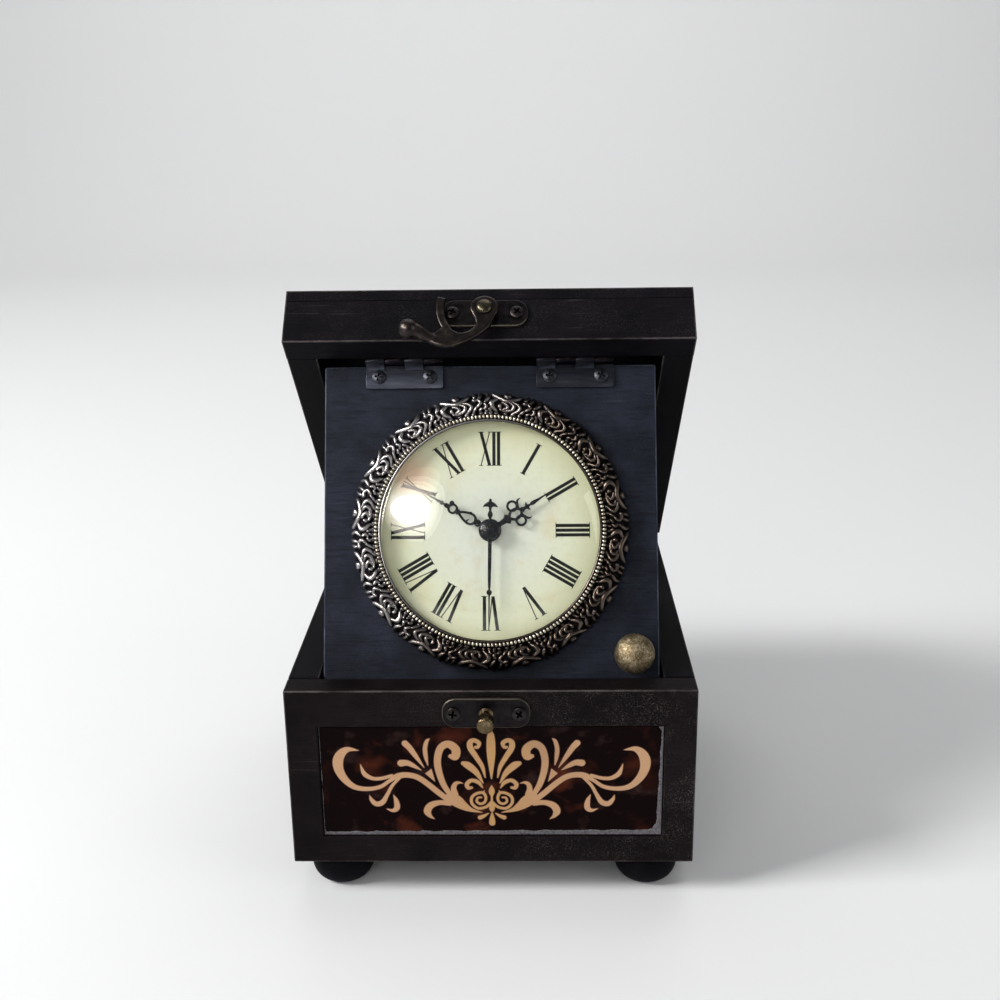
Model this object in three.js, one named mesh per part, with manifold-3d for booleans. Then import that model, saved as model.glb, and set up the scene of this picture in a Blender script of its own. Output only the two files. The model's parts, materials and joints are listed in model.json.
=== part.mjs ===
// Clock diversion safe: a black wooden box on bun feet. A shallow lid is hinged at the back rim, and a
// square clock panel hangs from the lid's front rail. With the lid raised the panel stands in the rim as
// a mantel clock. Folded flat under the lid it hides the safe compartment in the base.
// Millimetres, +Z up, front towards -Y.
import * as THREE from 'three';
import { mergeVertices } from 'three/addons/utils/BufferGeometryUtils.js';
import Module from 'manifold-3d';

const wasm = await Module();
wasm.setup();

// Clearances
const seatGap = 0.3; // between a piece and what it rests on or turns in
const glueGap = 0.2; // between glued boards
const rimGap = 0.3; // between the closed lid and the rim

// Base box
const baseWidth = 150;
const baseDepth = 165;
const baseHeight = 71;
const wallThickness = 11.5;
const bottomThickness = 6;
const rimChamfer = 1.2; // inner top edge of the front wall, which the knob passes
const footHeight = 14;
const footRadius = 12;
const footTopRadius = 8.5;
const footSoleRadius = 8;
const footInsetX = 16.5;
const footInsetY = 15;
const footTenonRadius = 2.2;
const footTenonLength = 5;

// Framed glass tile in the front wall
const tileWidth = 126;
const tileHeight = 45;
const tileThickness = 3;
const tileTopMargin = 14.5; // from the rim to the tile's opening
const tileRecess = 1; // how far the tile lies behind the wall's face

// Lid
const lidWidth = 153;
const lidHeight = 23;
const lidTopThickness = 4.7;
const openAngle = THREE.MathUtils.degToRad(45);

// Hinges, all of one pattern: rolled sheet leaves on a pin
const leafThickness = 0.9;
const barrelRadius = 1.5;
const hingePinRadius = 0.7;
const knuckleCount = 4;
const knuckleGap = 0.3;
const panelLeafWidth = 29.3;
const panelLeafHeight = 10.5; // from the axis to the leaf's free edge
const panelHingeOffset = 32.2; // from the middle to a leaf's middle
const rearLeafWidth = 25;
const rearLeafHeight = 10;
const rearHingeInset = 30; // from the base's side to a leaf's middle
const leafScrewInset = 5; // from a leaf's end to its screw

// Screws
const screwHeadRadius = 2.6;
const screwHeadHeight = 0.7;
const screwShankRadius = 1;
const screwShankLength = 5.5;
const screwSlotLength = 2.6;
const screwSlotWidth = 0.6;
const screwSlotDepth = 0.4;

// Swing hook latch on the lid, and its catch on the base
const latchPlateLength = 32;
const latchPlateWidth = 11.6;
const latchPlateThickness = 1.2;
const latchScrewSpacing = 24;
const latchX = -1.5;
const rivetHeight = 11.2; // above the lid's lower edge
const catchDrop = 8.4; // from the rim down to the catch pin
const rivetHeadRadius = 2.75;
const rivetShankRadius = 1.3;
const rivetShoulderRadius = 2.2; // it keeps the hook off the plate's screws
const rivetShankLength = 6;
const rivetHeadHeight = 1.7;
const hookThickness = 2.4;
const hookEyeRadius = 5.3;
const hookFingerInner = 14.8; // the finger is an arc round the rivet
const hookFingerOuter = 18;
const hookBallRadius = 3.8;
const hookBallX = -27.8;
const hookBallZ = -10;
const hookBallForward = 1.8; // the ball stands forward of the hook's middle
const catchNeckRadius = 1.6;
const catchNeckLength = 4.6;
const catchHeadRadius = 3.2;
const catchHeadLength = 5.4;
const catchShankRadius = 1.4;
const catchShankLength = 6;

// Clock panel
const panelHeight = 125;
const panelSideGap = 1; // to each side wall
const panelThickness = 8;
const panelTopGap = 1.9; // from the hinge axis to the panel's top edge
const footClearance = 0.5; // from the panel's foot to the front wall

// Clock, centred on the panel
const bezelRadius = 52.5;
const bezelRise = 6; // height of the embossed band
const beadRadius = 42.3;
const beadRise = 7.2;
const dialOpening = 40.6; // radius of dial that shows
const bezelSeatWidth = 2; // how far the glass lies under the bezel's lip
const dialPlateRadius = 46.3;
const dialPlateThickness = 0.8;
const dialThickness = 0.5;
const spacerThickness = 2.1;
const glassThickness = 1;
const glassRise = 5; // how far the glass domes
const movementSide = 56;
const movementThickness = 15;
const movementFit = 0.6; // to the square hole in the panel
const movementFloor = 0.8; // wall left under the battery
const batteryRadius = 6.9;
const batteryLength = 48.5;
const batteryNubRadius = 2.7;
const batteryNubLength = 1;
const contactThickness = 0.5;
const contactHeight = 9;
const contactWidth = 8;
const setKnobRadius = 6;
const setKnobThickness = 3;
const setKnobStemRadius = 1.3;
const setKnobStemLength = 3;
const setKnobProud = 0.6;
const bushRadius = 2.9;
const bushBack = -6; // the nested spindle tubes start this far behind the panel's face
const nutRadius = 4.1;
const nutThickness = 1.2;
const hourTubeRadius = 2.2;
const minuteTubeRadius = 1.3;
const secondArborRadius = 0.5;
const tubeStep = 0.6; // from one tube's outside to its bore
const secondArborGap = 0.3;
const handThickness = 0.4;
const handSpacing = 0.3;
const hourHandLength = 25.8;
const minuteHandLength = 37.3;
const secondHandLength = 36.6;
const secondTailLength = 11.2;
const bossRadius = 4.25;
const bossHeight = 1.9;

// Clock face angles in the shown position, clockwise from twelve
const hourHandAngle = THREE.MathUtils.degToRad(57.5);
const minuteHandAngle = THREE.MathUtils.degToRad(-60);
const secondHandAngle = THREE.MathUtils.degToRad(181);

// Pierced hour hand, from its hub outwards
const hourHubRadius = 3.6;
const hourSwellingZ = 7.7;
const hourSwellingRadius = 1.5;
const hourLoopZ = 11.6;
const hourLoopSpread = 3.3;
const hourLoopRadius = 2;
const hourLoopBore = 1.35;
const hourHornRootZ = 13;
const hourHornTipZ = 15.7;
const hourHornSpread = 3.8;
const hourFlareZ = 16.5;
const hourFlareWidth = 3;
const hourNeedleZ = 18.9;
const hourNeedleWidth = 1.4;

// Pierced minute hand
const minuteHubRadius = 3.3;
const minuteBeadZ = 5.3;
const minuteBeadRadius = 1.25;
const minuteLoopZ = 9.6;
const minuteLoopLength = 6.6;
const minuteLoopWidth = 4.2;
const minuteJointZ = 13.6;
const minuteJointWidth = 2;
const minuteTopLoopZ = 16.1;
const minuteTopLoopLength = 4.6;
const minuteTopLoopWidth = 3.4;
const minuteNeedleZ = 20.7;
const minuteNeedleWidth = 1.3;

// Second hand and its tail
const secondWidth = 1.2;
const secondBeadZ = 23;
const secondBeadRadius = 1;
const tailSwellingZ = 5.7;
const tailSwellingWidth = 1.7;
const tailCrescentZ = 8.2;
const tailCrescentWidth = 4.6;
const tailCrescentRise = 1.7;

// Pull knob on the clock panel
const knobInset = 9.6; // from the panel's right edge
const knobRimGap = 1.35; // from the rim up to the knob's widest part
const knobRadius = 7.4;
const knobNeckRadius = 3;
const knobNeckLength = 4.2;
const knobFlare = 1; // from the neck's end to the widest part
const knobHeight = 10.6;
const knobScrewReach = 4.5;

const sides = [['left', -1], ['right', 1]];

// Places worked out from the sizes above
const rimZ = footHeight + baseHeight;
const lidZ = rimZ + rimGap;
const lidTopZ = lidZ + lidHeight;
const innerWidth = baseWidth - 2 * wallThickness;
const panelWidth = innerWidth - 2 * panelSideGap;
const knobX = panelWidth / 2 - knobInset;
const barrelOffset = seatGap + barrelRadius; // from a board's face to the axis of a hinge on it
const rearAxisY = baseDepth + barrelOffset;
const rearAxisZ = rimZ + rimGap / 2;
const panelAxisY = wallThickness + barrelOffset;
const panelAxisZ = lidZ;
const knuckleClear = barrelRadius + seatGap;
const latchZ = lidZ + rivetHeight;
const catchZ = rimZ - catchDrop;
const plateFront = seatGap + latchPlateThickness;
const latchScrewSeat = plateFront + seatGap;
const hookBack = latchScrewSeat + screwHeadHeight + seatGap;

// The panel's hinge axis with the lid raised.
function raisedAxis() {
  const dy = panelAxisY - rearAxisY;
  const dz = panelAxisZ - rearAxisZ;
  return {
    y: rearAxisY + dy * Math.cos(openAngle) + dz * Math.sin(openAngle),
    z: rearAxisZ - dy * Math.sin(openAngle) + dz * Math.cos(openAngle),
  };
}

// The panel leans back until its foot meets the front wall.
function leanAngle() {
  const length = panelTopGap + panelHeight;
  const reach = raisedAxis().y - wallThickness - footClearance;
  return Math.atan2(barrelOffset, length) + Math.asin(reach / Math.hypot(length, barrelOffset));
}
const lean = leanAngle();

// How far the knob lies below the panel's top edge, so that its widest part clears the rim.
function knobDropFromTop() {
  const forward = knobNeckLength + knobFlare - barrelOffset;
  const height = raisedAxis().z + forward * Math.sin(lean) - rimZ - knobRimGap;
  return height / Math.cos(lean) - knobRadius - panelTopGap;
}
const knobDrop = knobDropFromTop();

// Solids and geometry

function toSolid(geometry) {
  const plain = geometry.clone();
  plain.deleteAttribute('normal');
  plain.deleteAttribute('uv');
  const merged = mergeVertices(plain, 1e-4);
  const vertProperties = new Float32Array(merged.attributes.position.array);
  const faces = [];
  const index = merged.index.array;
  for (let i = 0; i < index.length; i += 3) {
    const [a, b, c] = [index[i], index[i + 1], index[i + 2]];
    if (a !== b && b !== c && c !== a) faces.push(a, b, c);
  }
  if (signedVolume(vertProperties, faces) < 0) faces.reverse();
  const mesh = new wasm.Mesh({ numProp: 3, vertProperties, triVerts: new Uint32Array(faces) });
  return new wasm.Manifold(mesh);
}

function signedVolume(positions, faces) {
  const corner = (i) => new THREE.Vector3().fromArray(positions, faces[i] * 3);
  let volume = 0;
  for (let i = 0; i < faces.length; i += 3) {
    volume += corner(i).dot(corner(i + 1).cross(corner(i + 2))) / 6;
  }
  return volume;
}

function toGeometry(solid) {
  const mesh = solid.getMesh();
  const geometry = new THREE.BufferGeometry();
  geometry.setAttribute('position', new THREE.Float32BufferAttribute(mesh.vertProperties, 3));
  geometry.setIndex(new THREE.Uint32BufferAttribute(mesh.triVerts, 1));
  geometry.computeVertexNormals();
  return geometry;
}

function union(solids) {
  return solids.reduce((whole, piece) => whole.add(piece));
}

function cut(solid, tools) {
  return tools.reduce((rest, tool) => rest.subtract(tool), solid);
}

// A box between two corners.
function block([x0, y0, z0], [x1, y1, z1]) {
  const geometry = new THREE.BoxGeometry(x1 - x0, y1 - y0, z1 - z0);
  geometry.translate((x0 + x1) / 2, (y0 + y1) / 2, (z0 + z1) / 2);
  return toSolid(geometry);
}

// An outline drawn in X and Z, standing from one forward distance to another. Forward is -Y.
function plate(shape, back, front, curveSegments = 8) {
  const options = { depth: front - back, bevelEnabled: false, curveSegments };
  const geometry = new THREE.ExtrudeGeometry(shape, options);
  geometry.translate(0, 0, back);
  geometry.rotateX(Math.PI / 2);
  return toSolid(geometry);
}

// A profile of [radius, forward] points turned round the forward axis.
function turned(profile, segments = 24) {
  const geometry = new THREE.LatheGeometry(profile.map(([r, n]) => new THREE.Vector2(r, n)), segments);
  geometry.rotateX(Math.PI);
  return toSolid(geometry);
}

// A profile of [radius, height] points turned round the upright axis.
function turnedUpright(profile, segments = 24) {
  const geometry = new THREE.LatheGeometry(profile.map(([r, z]) => new THREE.Vector2(r, z)), segments);
  geometry.rotateX(Math.PI / 2);
  return toSolid(geometry);
}

function rod(radius, back, front, segments = 16) {
  return turned([[0, back], [radius, back], [radius, front], [0, front]], segments);
}

function tube(outer, inner, back, front, segments = 20) {
  return turned([[inner, back], [outer, back], [outer, front], [inner, front], [inner, back]], segments);
}

// A rod along X, for hinge pins and barrels.
function crossRod(radius, x0, x1, segments = 12) {
  const geometry = new THREE.CylinderGeometry(radius, radius, x1 - x0, segments);
  geometry.rotateZ(Math.PI / 2);
  geometry.translate((x0 + x1) / 2, 0, 0);
  return toSolid(geometry);
}

// The same solid facing +Y instead of -Y.
function facingBack(solid) {
  return solid.rotate([0, 0, 180]);
}

function stadium(length, width) {
  const shape = new THREE.Shape();
  const half = (length - width) / 2;
  shape.absarc(half, 0, width / 2, -Math.PI / 2, Math.PI / 2);
  shape.absarc(-half, 0, width / 2, Math.PI / 2, (Math.PI * 3) / 2);
  return shape;
}

function disc(radius, x = 0, z = 0) {
  return new THREE.Path().absarc(x, z, radius, 0, Math.PI * 2);
}

// Fasteners

// A cross-recess screw. Its head rests on forward distance 0.
function screw(segments) {
  const rimRise = screwHeadHeight * 0.4;
  const body = turned([
    [0, -screwShankLength], [screwShankRadius, -screwShankLength + 1], [screwShankRadius, 0],
    [screwHeadRadius, 0], [screwHeadRadius, rimRise], [screwHeadRadius * 0.7, screwHeadHeight],
    [0, screwHeadHeight],
  ], segments);
  const bottom = screwHeadHeight - screwSlotDepth;
  const half = screwSlotWidth / 2;
  const reach = screwSlotLength / 2;
  const across = block([-reach, -screwHeadHeight - 1, -half], [reach, -bottom, half]);
  const along = block([-half, -screwHeadHeight - 1, -reach], [half, -bottom, reach]);
  return cut(body, [across, along]);
}

// The pilot hole for that screw.
function screwHole() {
  return rod(screwShankRadius + seatGap, -screwShankLength - seatGap, 2, 12);
}

// Hinges

// One leaf with its knuckles, in the frame of the hinge axis. The leaf lies on a board's face that is
// barrelOffset behind the axis, and reaches downwards from the barrel.
function hingeLeaf(width, height, first, holes) {
  const pitch = width / knuckleCount;
  const back = -barrelRadius;
  const front = back + leafThickness;
  let leaf = block([-width / 2, -front, -height], [width / 2, -back, -knuckleClear]);
  for (let i = first; i < knuckleCount; i += 2) {
    const x0 = -width / 2 + i * pitch + (i > 0 ? knuckleGap / 2 : 0);
    const x1 = -width / 2 + (i + 1) * pitch - (i < knuckleCount - 1 ? knuckleGap / 2 : 0);
    const strap = block([x0, -front, -knuckleClear - leafThickness], [x1, -back, 0]);
    leaf = leaf.add(strap).add(crossRod(barrelRadius, x0, x1));
  }
  const bore = crossRod(hingePinRadius + seatGap, -width, width);
  return cut(leaf, [bore, ...holes]);
}

function leafHoles(width, height) {
  const front = leafThickness - barrelRadius + 1;
  const hole = rod(screwShankRadius + seatGap, -barrelRadius - 1, front, 12);
  return leafScrewPlaces(width, height).map(([x, z]) => hole.translate([x, 0, z]));
}

// A leaf out of sight, made in one with its two screws.
function screwedLeaf(width, height, first) {
  return union([hingeLeaf(width, height, first, []), ...leafScrews(width, height, 0, 10)]);
}

function leafScrewPlaces(width, height) {
  const z = -(knuckleClear + height) / 2;
  return [[-width / 2 + leafScrewInset, z], [width / 2 - leafScrewInset, z]];
}

// The screws of one leaf, in the frame of the hinge axis, with their heads a gap above it.
function leafScrews(width, height, gap, segments) {
  const headSeat = barrelRadius - leafThickness - gap;
  return leafScrewPlaces(width, height).map(([x, z]) => screw(segments).translate([x, headSeat, z]));
}

// The pilot holes for those screws, cut deep enough for either seat.
function leafScrewHoles(width, height) {
  return leafScrewPlaces(width, height).map(([x, z]) => (
    screwHole().translate([x, barrelRadius - leafThickness, z])
  ));
}

function hingePin(width) {
  return crossRod(hingePinRadius, -width / 2, width / 2);
}

// Base

function latchScrewPlaces() {
  return [-latchScrewSpacing / 2, latchScrewSpacing / 2];
}

function frontWall() {
  const wall = block([-baseWidth / 2, 0, footHeight], [baseWidth / 2, wallThickness, rimZ]);
  const pocketTop = rimZ - tileTopMargin;
  const pocket = block(
    [-tileWidth / 2 - seatGap, -1, pocketTop - tileHeight - 2 * seatGap],
    [tileWidth / 2 + seatGap, tileRecess + tileThickness + seatGap, pocketTop],
  );
  const bevel = new THREE.Shape([
    new THREE.Vector2(-rimChamfer, 1), new THREE.Vector2(1, 1), new THREE.Vector2(1, -rimChamfer),
    new THREE.Vector2(0, -rimChamfer), new THREE.Vector2(-rimChamfer, 0),
  ]);
  const strip = new THREE.ExtrudeGeometry(bevel, { depth: innerWidth, bevelEnabled: false });
  strip.rotateY(Math.PI / 2);
  strip.rotateX(Math.PI / 2);
  strip.translate(-innerWidth / 2, wallThickness, rimZ);
  const screwHoles = latchScrewPlaces().map((x) => screwHole().translate([latchX + x, 0, catchZ]));
  const pinHole = rod(catchShankRadius + seatGap, -catchShankLength - seatGap, 1);
  return cut(wall, [pocket, toSolid(strip), ...screwHoles, pinHole.translate([latchX, 0, catchZ])]);
}

function backWall() {
  const wall = block(
    [-baseWidth / 2, baseDepth - wallThickness, footHeight],
    [baseWidth / 2, baseDepth, rimZ],
  );
  return cut(wall, rearHingeHoles(false));
}

// Rear hinges stand on the outer back faces. The base leaves hang down, the lid leaves stand up.
function atRearHinge(solid, side, raised) {
  const turnedSolid = raised ? solid.rotate([180, 0, 0]) : facingBack(solid);
  return turnedSolid.translate([side * (baseWidth / 2 - rearHingeInset), rearAxisY, rearAxisZ]);
}

function rearHingeHoles(raised) {
  return [-1, 1].flatMap((side) => leafScrewHoles(rearLeafWidth, rearLeafHeight)
    .map((hole) => atRearHinge(hole, side, raised)));
}

function sideWall(side) {
  const inner = side * (innerWidth / 2);
  const outer = side * (baseWidth / 2);
  return block(
    [Math.min(inner, outer), wallThickness, footHeight],
    [Math.max(inner, outer), baseDepth - wallThickness, rimZ],
  );
}

function footPlaces() {
  const x = baseWidth / 2 - footInsetX;
  return [
    ['front_left', -x, footInsetY],
    ['front_right', x, footInsetY],
    ['rear_left', -x, baseDepth - footInsetY],
    ['rear_right', x, baseDepth - footInsetY],
  ];
}

function bottomBoard() {
  const board = block(
    [-innerWidth / 2, wallThickness, footHeight],
    [innerWidth / 2, baseDepth - wallThickness, footHeight + bottomThickness],
  );
  const holes = footPlaces().map(([, x, y]) => (
    turnedUpright([
      [0, -1], [footTenonRadius + seatGap, -1], [footTenonRadius + seatGap, footTenonLength + seatGap],
      [0, footTenonLength + seatGap],
    ], 16).translate([x, y, footHeight])
  ));
  return cut(board, holes);
}

// A bun foot, turned with the tenon that is glued into the bottom board.
function foot() {
  const profile = [[0, 0], [footSoleRadius, 0]];
  const steps = 5;
  for (let i = 0; i <= steps; i += 1) {
    const t = i / steps;
    const end = THREE.MathUtils.lerp(footSoleRadius, footTopRadius, t);
    const bulge = Math.sin(Math.PI * t) ** 0.6;
    profile.push([end + (footRadius - end) * bulge, footHeight * (0.06 + 0.88 * t)]);
  }
  const tip = footHeight + footTenonLength;
  profile.push([footTopRadius, footHeight], [footTenonRadius, footHeight], [footTenonRadius, tip], [0, tip]);
  return turnedUpright(profile, 24);
}

function glassTile() {
  const top = rimZ - tileTopMargin - seatGap;
  return block(
    [-tileWidth / 2, tileRecess, top - tileHeight],
    [tileWidth / 2, tileRecess + tileThickness, top],
  );
}

function latchPlate(centreHole) {
  const shape = stadium(latchPlateLength, latchPlateWidth);
  shape.holes.push(disc(centreHole));
  for (const x of latchScrewPlaces()) shape.holes.push(disc(screwShankRadius + seatGap, x));
  return plate(shape, seatGap, plateFront, 6);
}

function latchScrews(z) {
  return sides.map(([word, side]) => (
    [word, screw(14).translate([latchX + (side * latchScrewSpacing) / 2, -latchScrewSeat, z])]
  ));
}

function catchPin() {
  const collar = plateFront + seatGap;
  const neckEnd = collar + catchNeckLength;
  const tip = neckEnd + catchHeadLength;
  const round = catchHeadRadius * 0.35;
  return turned([
    [0, -catchShankLength], [catchShankRadius, -catchShankLength + 1], [catchShankRadius, collar],
    [catchNeckRadius + 1, collar], [catchNeckRadius + 1, collar + 0.5], [catchNeckRadius, collar + 0.5],
    [catchNeckRadius, neckEnd], [catchHeadRadius - 0.3, neckEnd], [catchHeadRadius, neckEnd + 0.5],
    [catchHeadRadius, tip - round * 1.4], [catchHeadRadius - round * 0.4, tip - round * 0.5],
    [catchHeadRadius - round * 1.4, tip], [0, tip],
  ], 20);
}

// Lid

function lidFrontRail() {
  const rail = block(
    [-lidWidth / 2, 0, lidZ],
    [lidWidth / 2, wallThickness, lidTopZ - lidTopThickness - glueGap],
  );
  const latchHoles = latchScrewPlaces().map((x) => screwHole().translate([latchX + x, 0, latchZ]));
  const rivetHole = rod(rivetShankRadius + seatGap, -rivetShankLength - seatGap, 1);
  const hingeHoles = [-1, 1].flatMap((side) => leafScrewHoles(panelLeafWidth, panelLeafHeight)
    .map((hole) => atRailLeaf(hole, side)));
  return cut(rail, [...latchHoles, rivetHole.translate([latchX, 0, latchZ]), ...hingeHoles]);
}

function lidBackRail() {
  const rail = block(
    [-lidWidth / 2, baseDepth - wallThickness, lidZ],
    [lidWidth / 2, baseDepth, lidTopZ - lidTopThickness - glueGap],
  );
  return cut(rail, rearHingeHoles(true));
}

function lidSideRail(side) {
  const outer = side * (lidWidth / 2);
  const inner = side * (lidWidth / 2 - wallThickness);
  return block(
    [Math.min(inner, outer), wallThickness + glueGap, lidZ],
    [Math.max(inner, outer), baseDepth - wallThickness - glueGap, lidTopZ - lidTopThickness - glueGap],
  );
}

function lidTopBoard() {
  return block([-lidWidth / 2, 0, lidTopZ - lidTopThickness], [lidWidth / 2, baseDepth, lidTopZ]);
}

// The rail leaves stand up behind the lid's front rail.
function atRailLeaf(solid, side) {
  return solid.rotate([180, 0, 0]).translate([side * panelHingeOffset, panelAxisY, panelAxisZ]);
}

// Swing hook: an eye on the rivet, a sweeping arm with a ball end, and an inner finger.
function hook() {
  const degree = Math.PI / 180;
  const tipAngle = 163 * degree;
  const rootAngle = 209 * degree;
  const tipRadius = (hookFingerOuter - hookFingerInner) / 2;
  const midRadius = (hookFingerOuter + hookFingerInner) / 2;
  // Free points of the arm's outline, as shares of the finger's outer radius.
  const drawn = (points) => points.map(([x, z]) => new THREE.Vector2(x, z).multiplyScalar(hookFingerOuter));
  const shape = new THREE.Shape();
  shape.absarc(0, 0, hookFingerOuter, tipAngle, rootAngle, false);
  shape.splineThru(drawn([[-1.01, -0.606], [-1.167, -0.55], [-1.356, -0.406]]));
  shape.splineThru(drawn([
    [-1.472, -0.556], [-1.244, -0.733], [-0.978, -0.9], [-0.7, -0.933], [-0.389, -0.828],
    [-0.111, -0.667], [0.111, -0.467],
  ]));
  shape.absarc(0, 0, hookEyeRadius, -38 * degree, 193 * degree, false);
  shape.splineThru(drawn([
    [-0.2, -0.256], [-0.183, -0.411], [-0.311, -0.556], [-0.494, -0.606], [-0.644, -0.533],
  ]));
  shape.absarc(0, 0, hookFingerInner, rootAngle, tipAngle, true);
  const tipX = midRadius * Math.cos(tipAngle);
  const tipZ = midRadius * Math.sin(tipAngle);
  shape.absarc(tipX, tipZ, tipRadius, tipAngle - Math.PI, tipAngle, false);
  shape.holes.push(disc(rivetShankRadius + seatGap));
  const eyeBlade = plate(shape, hookBack, hookBack + hookThickness, 6);
  const ball = toSolid(new THREE.SphereGeometry(hookBallRadius, 14, 9));
  const ballForward = hookBack + hookThickness / 2 + hookBallForward;
  return eyeBlade.add(ball.translate([hookBallX, -ballForward, hookBallZ]));
}

function rivet() {
  const seat = hookBack + hookThickness + seatGap;
  const shoulder = plateFront + seatGap;
  return turned([
    [0, -rivetShankLength], [rivetShankRadius, -rivetShankLength + 1], [rivetShankRadius, shoulder],
    [rivetShoulderRadius, shoulder], [rivetShoulderRadius, hookBack - seatGap],
    [rivetShankRadius, hookBack - seatGap], [rivetShankRadius, seat], [rivetHeadRadius, seat],
    [rivetHeadRadius, seat + 0.5], [rivetHeadRadius * 0.8, seat + 1.2],
    [rivetHeadRadius * 0.4, seat + rivetHeadHeight], [0, seat + rivetHeadHeight],
  ], 18);
}

// Clock panel. Its frame has the hinge axis as its origin, and the board's front face lies
// barrelOffset behind the axis.

const clockZ = -panelTopGap - panelHeight / 2;

// Moves a piece drawn round the clock's centre, with forward distance 0 on the board's face.
function atClock(solid) {
  return solid.translate([0, barrelOffset, clockZ]);
}

function atKnob(solid) {
  return solid.translate([knobX, barrelOffset, -panelTopGap - knobDrop]);
}

function panelBoard() {
  const half = panelHeight / 2;
  const board = block([-panelWidth / 2, 0, -half], [panelWidth / 2, panelThickness, half]);
  const hole = movementSide / 2 + movementFit;
  const window = block([-hole, -1, -hole], [hole, panelThickness + 1, hole]);
  const knobHole = rod(screwShankRadius + seatGap, -panelThickness - 1, 1, 12)
    .translate([knobX, 0, half - knobDrop]);
  const hingeHoles = [-1, 1].flatMap((side) => leafScrewHoles(panelLeafWidth, panelLeafHeight)
    .map((pilot) => pilot.translate([side * panelHingeOffset, -barrelOffset, half + panelTopGap])));
  return atClock(cut(board, [window, knobHole, ...hingeHoles]));
}

const plateFace = seatGap + dialPlateThickness;
const dialFace = plateFace + seatGap + dialThickness;
const spacerFace = dialFace + seatGap + spacerThickness;
const glassBack = spacerFace + seatGap;
const lipBack = glassBack + glassThickness + seatGap;
const seatRadius = dialOpening + bezelSeatWidth;

function bezel() {
  const shoulder = beadRadius + 1.6;
  const crown = (bezelRadius + shoulder) / 2;
  return turned([
    [dialPlateRadius + seatGap, seatGap], [bezelRadius, seatGap], [bezelRadius, 1.2],
    [bezelRadius - 1, bezelRise * 0.55], [bezelRadius - 2.8, bezelRise * 0.85], [crown, bezelRise],
    [shoulder + 1, bezelRise * 0.95], [shoulder, bezelRise * 0.84], [beadRadius + 0.9, bezelRise],
    [beadRadius + 0.5, beadRise], [beadRadius - 0.5, beadRise], [dialOpening + 0.5, beadRise - 0.7],
    [dialOpening, lipBack + 0.5], [dialOpening, lipBack], [seatRadius, lipBack],
    [seatRadius, plateFace + seatGap], [dialPlateRadius + seatGap, plateFace + seatGap],
    [dialPlateRadius + seatGap, seatGap],
  ], 56);
}

function dialPlate() {
  return tube(dialPlateRadius, bushRadius + seatGap, seatGap, plateFace, 48);
}

function dial() {
  return tube(seatRadius - seatGap, bushRadius + seatGap, plateFace + seatGap, dialFace, 48);
}

function spacerRing() {
  return tube(seatRadius - seatGap, dialOpening + 0.4, dialFace + seatGap, spacerFace, 48);
}

// The domed glass, with a flat brim that lies under the bezel's lip.
function domedGlass() {
  const dome = dialOpening - seatGap;
  const steps = 6;
  const arc = (from) => Array.from({ length: steps + 1 }, (_, i) => {
    const t = i / steps;
    return [dome * t, from + glassRise * (1 - t ** 3.2)];
  });
  const inside = arc(glassBack);
  const outside = arc(glassBack + glassThickness).reverse();
  const brim = [[seatRadius - seatGap, glassBack], [seatRadius - seatGap, glassBack + glassThickness]];
  return turned([...inside, ...brim, ...outside], 36);
}

const caseBack = -movementThickness;
const bayHeight = 2 * (batteryRadius + seatGap);
const bayLength = batteryLength + 2 * (contactThickness + 2 * seatGap);
const bayZ = -movementSide / 2 + 1.4 + bayHeight / 2;
const setKnobZ = 10;
const setKnobX = 14;

function movementCase() {
  const half = movementSide / 2;
  const body = block([-half, 0, -half], [half, movementThickness, half]);
  const bay = block(
    [-bayLength / 2, movementFloor, bayZ - bayHeight / 2],
    [bayLength / 2, movementThickness + 1, bayZ + bayHeight / 2],
  );
  const spindleHole = rod(bushRadius + seatGap, bushBack - 1, 1, 20);
  const recessFloor = caseBack + setKnobThickness - setKnobProud + seatGap;
  const recess = rod(setKnobRadius + 2 * seatGap, caseBack - 1, recessFloor, 24);
  const stemEnd = recessFloor + setKnobStemLength + seatGap;
  const stemHole = rod(setKnobStemRadius + seatGap, caseBack, stemEnd, 14);
  const knobCut = recess.add(stemHole).translate([setKnobX, 0, setKnobZ]);
  return cut(body, [bay, spindleHole, knobCut]);
}

function battery() {
  const half = batteryLength / 2;
  const body = crossRod(batteryRadius, -half, half - batteryNubLength, 24);
  const nub = crossRod(batteryNubRadius, half - batteryNubLength - 0.5, half, 16);
  return body.add(nub).translate([0, movementFloor + seatGap + batteryRadius, bayZ]);
}

function batteryContact(side) {
  const near = batteryLength / 2 + seatGap;
  const y0 = movementFloor + seatGap;
  const ends = [side * near, side * (near + contactThickness)].sort((a, b) => a - b);
  return block(
    [ends[0], y0, bayZ - contactHeight / 2],
    [ends[1], y0 + contactWidth, bayZ + contactHeight / 2],
  );
}

// The time-setting wheel, with grip notches round its rim.
function setKnob() {
  const back = caseBack - setKnobProud;
  const front = back + setKnobThickness;
  const wheel = turned([
    [0, back], [setKnobRadius, back], [setKnobRadius, front], [setKnobStemRadius, front],
    [setKnobStemRadius, front + setKnobStemLength], [0, front + setKnobStemLength],
  ], 24);
  const notches = 12;
  const grips = Array.from({ length: notches }, (_, i) => {
    const angle = (2 * Math.PI * i) / notches;
    const notch = rod(0.6, back - 1, front + 1, 6);
    return notch.translate([setKnobRadius * Math.cos(angle), 0, setKnobRadius * Math.sin(angle)]);
  });
  return cut(wheel, grips);
}

const nutBack = dialFace + seatGap;
const nutFace = nutBack + nutThickness;
const hourBack = nutFace + seatGap;
const minuteBack = hourBack + handThickness + handSpacing;
const secondBack = minuteBack + handThickness + handSpacing;

function spindleBush() {
  return tube(bushRadius, hourTubeRadius + seatGap, bushBack, nutFace);
}

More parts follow.
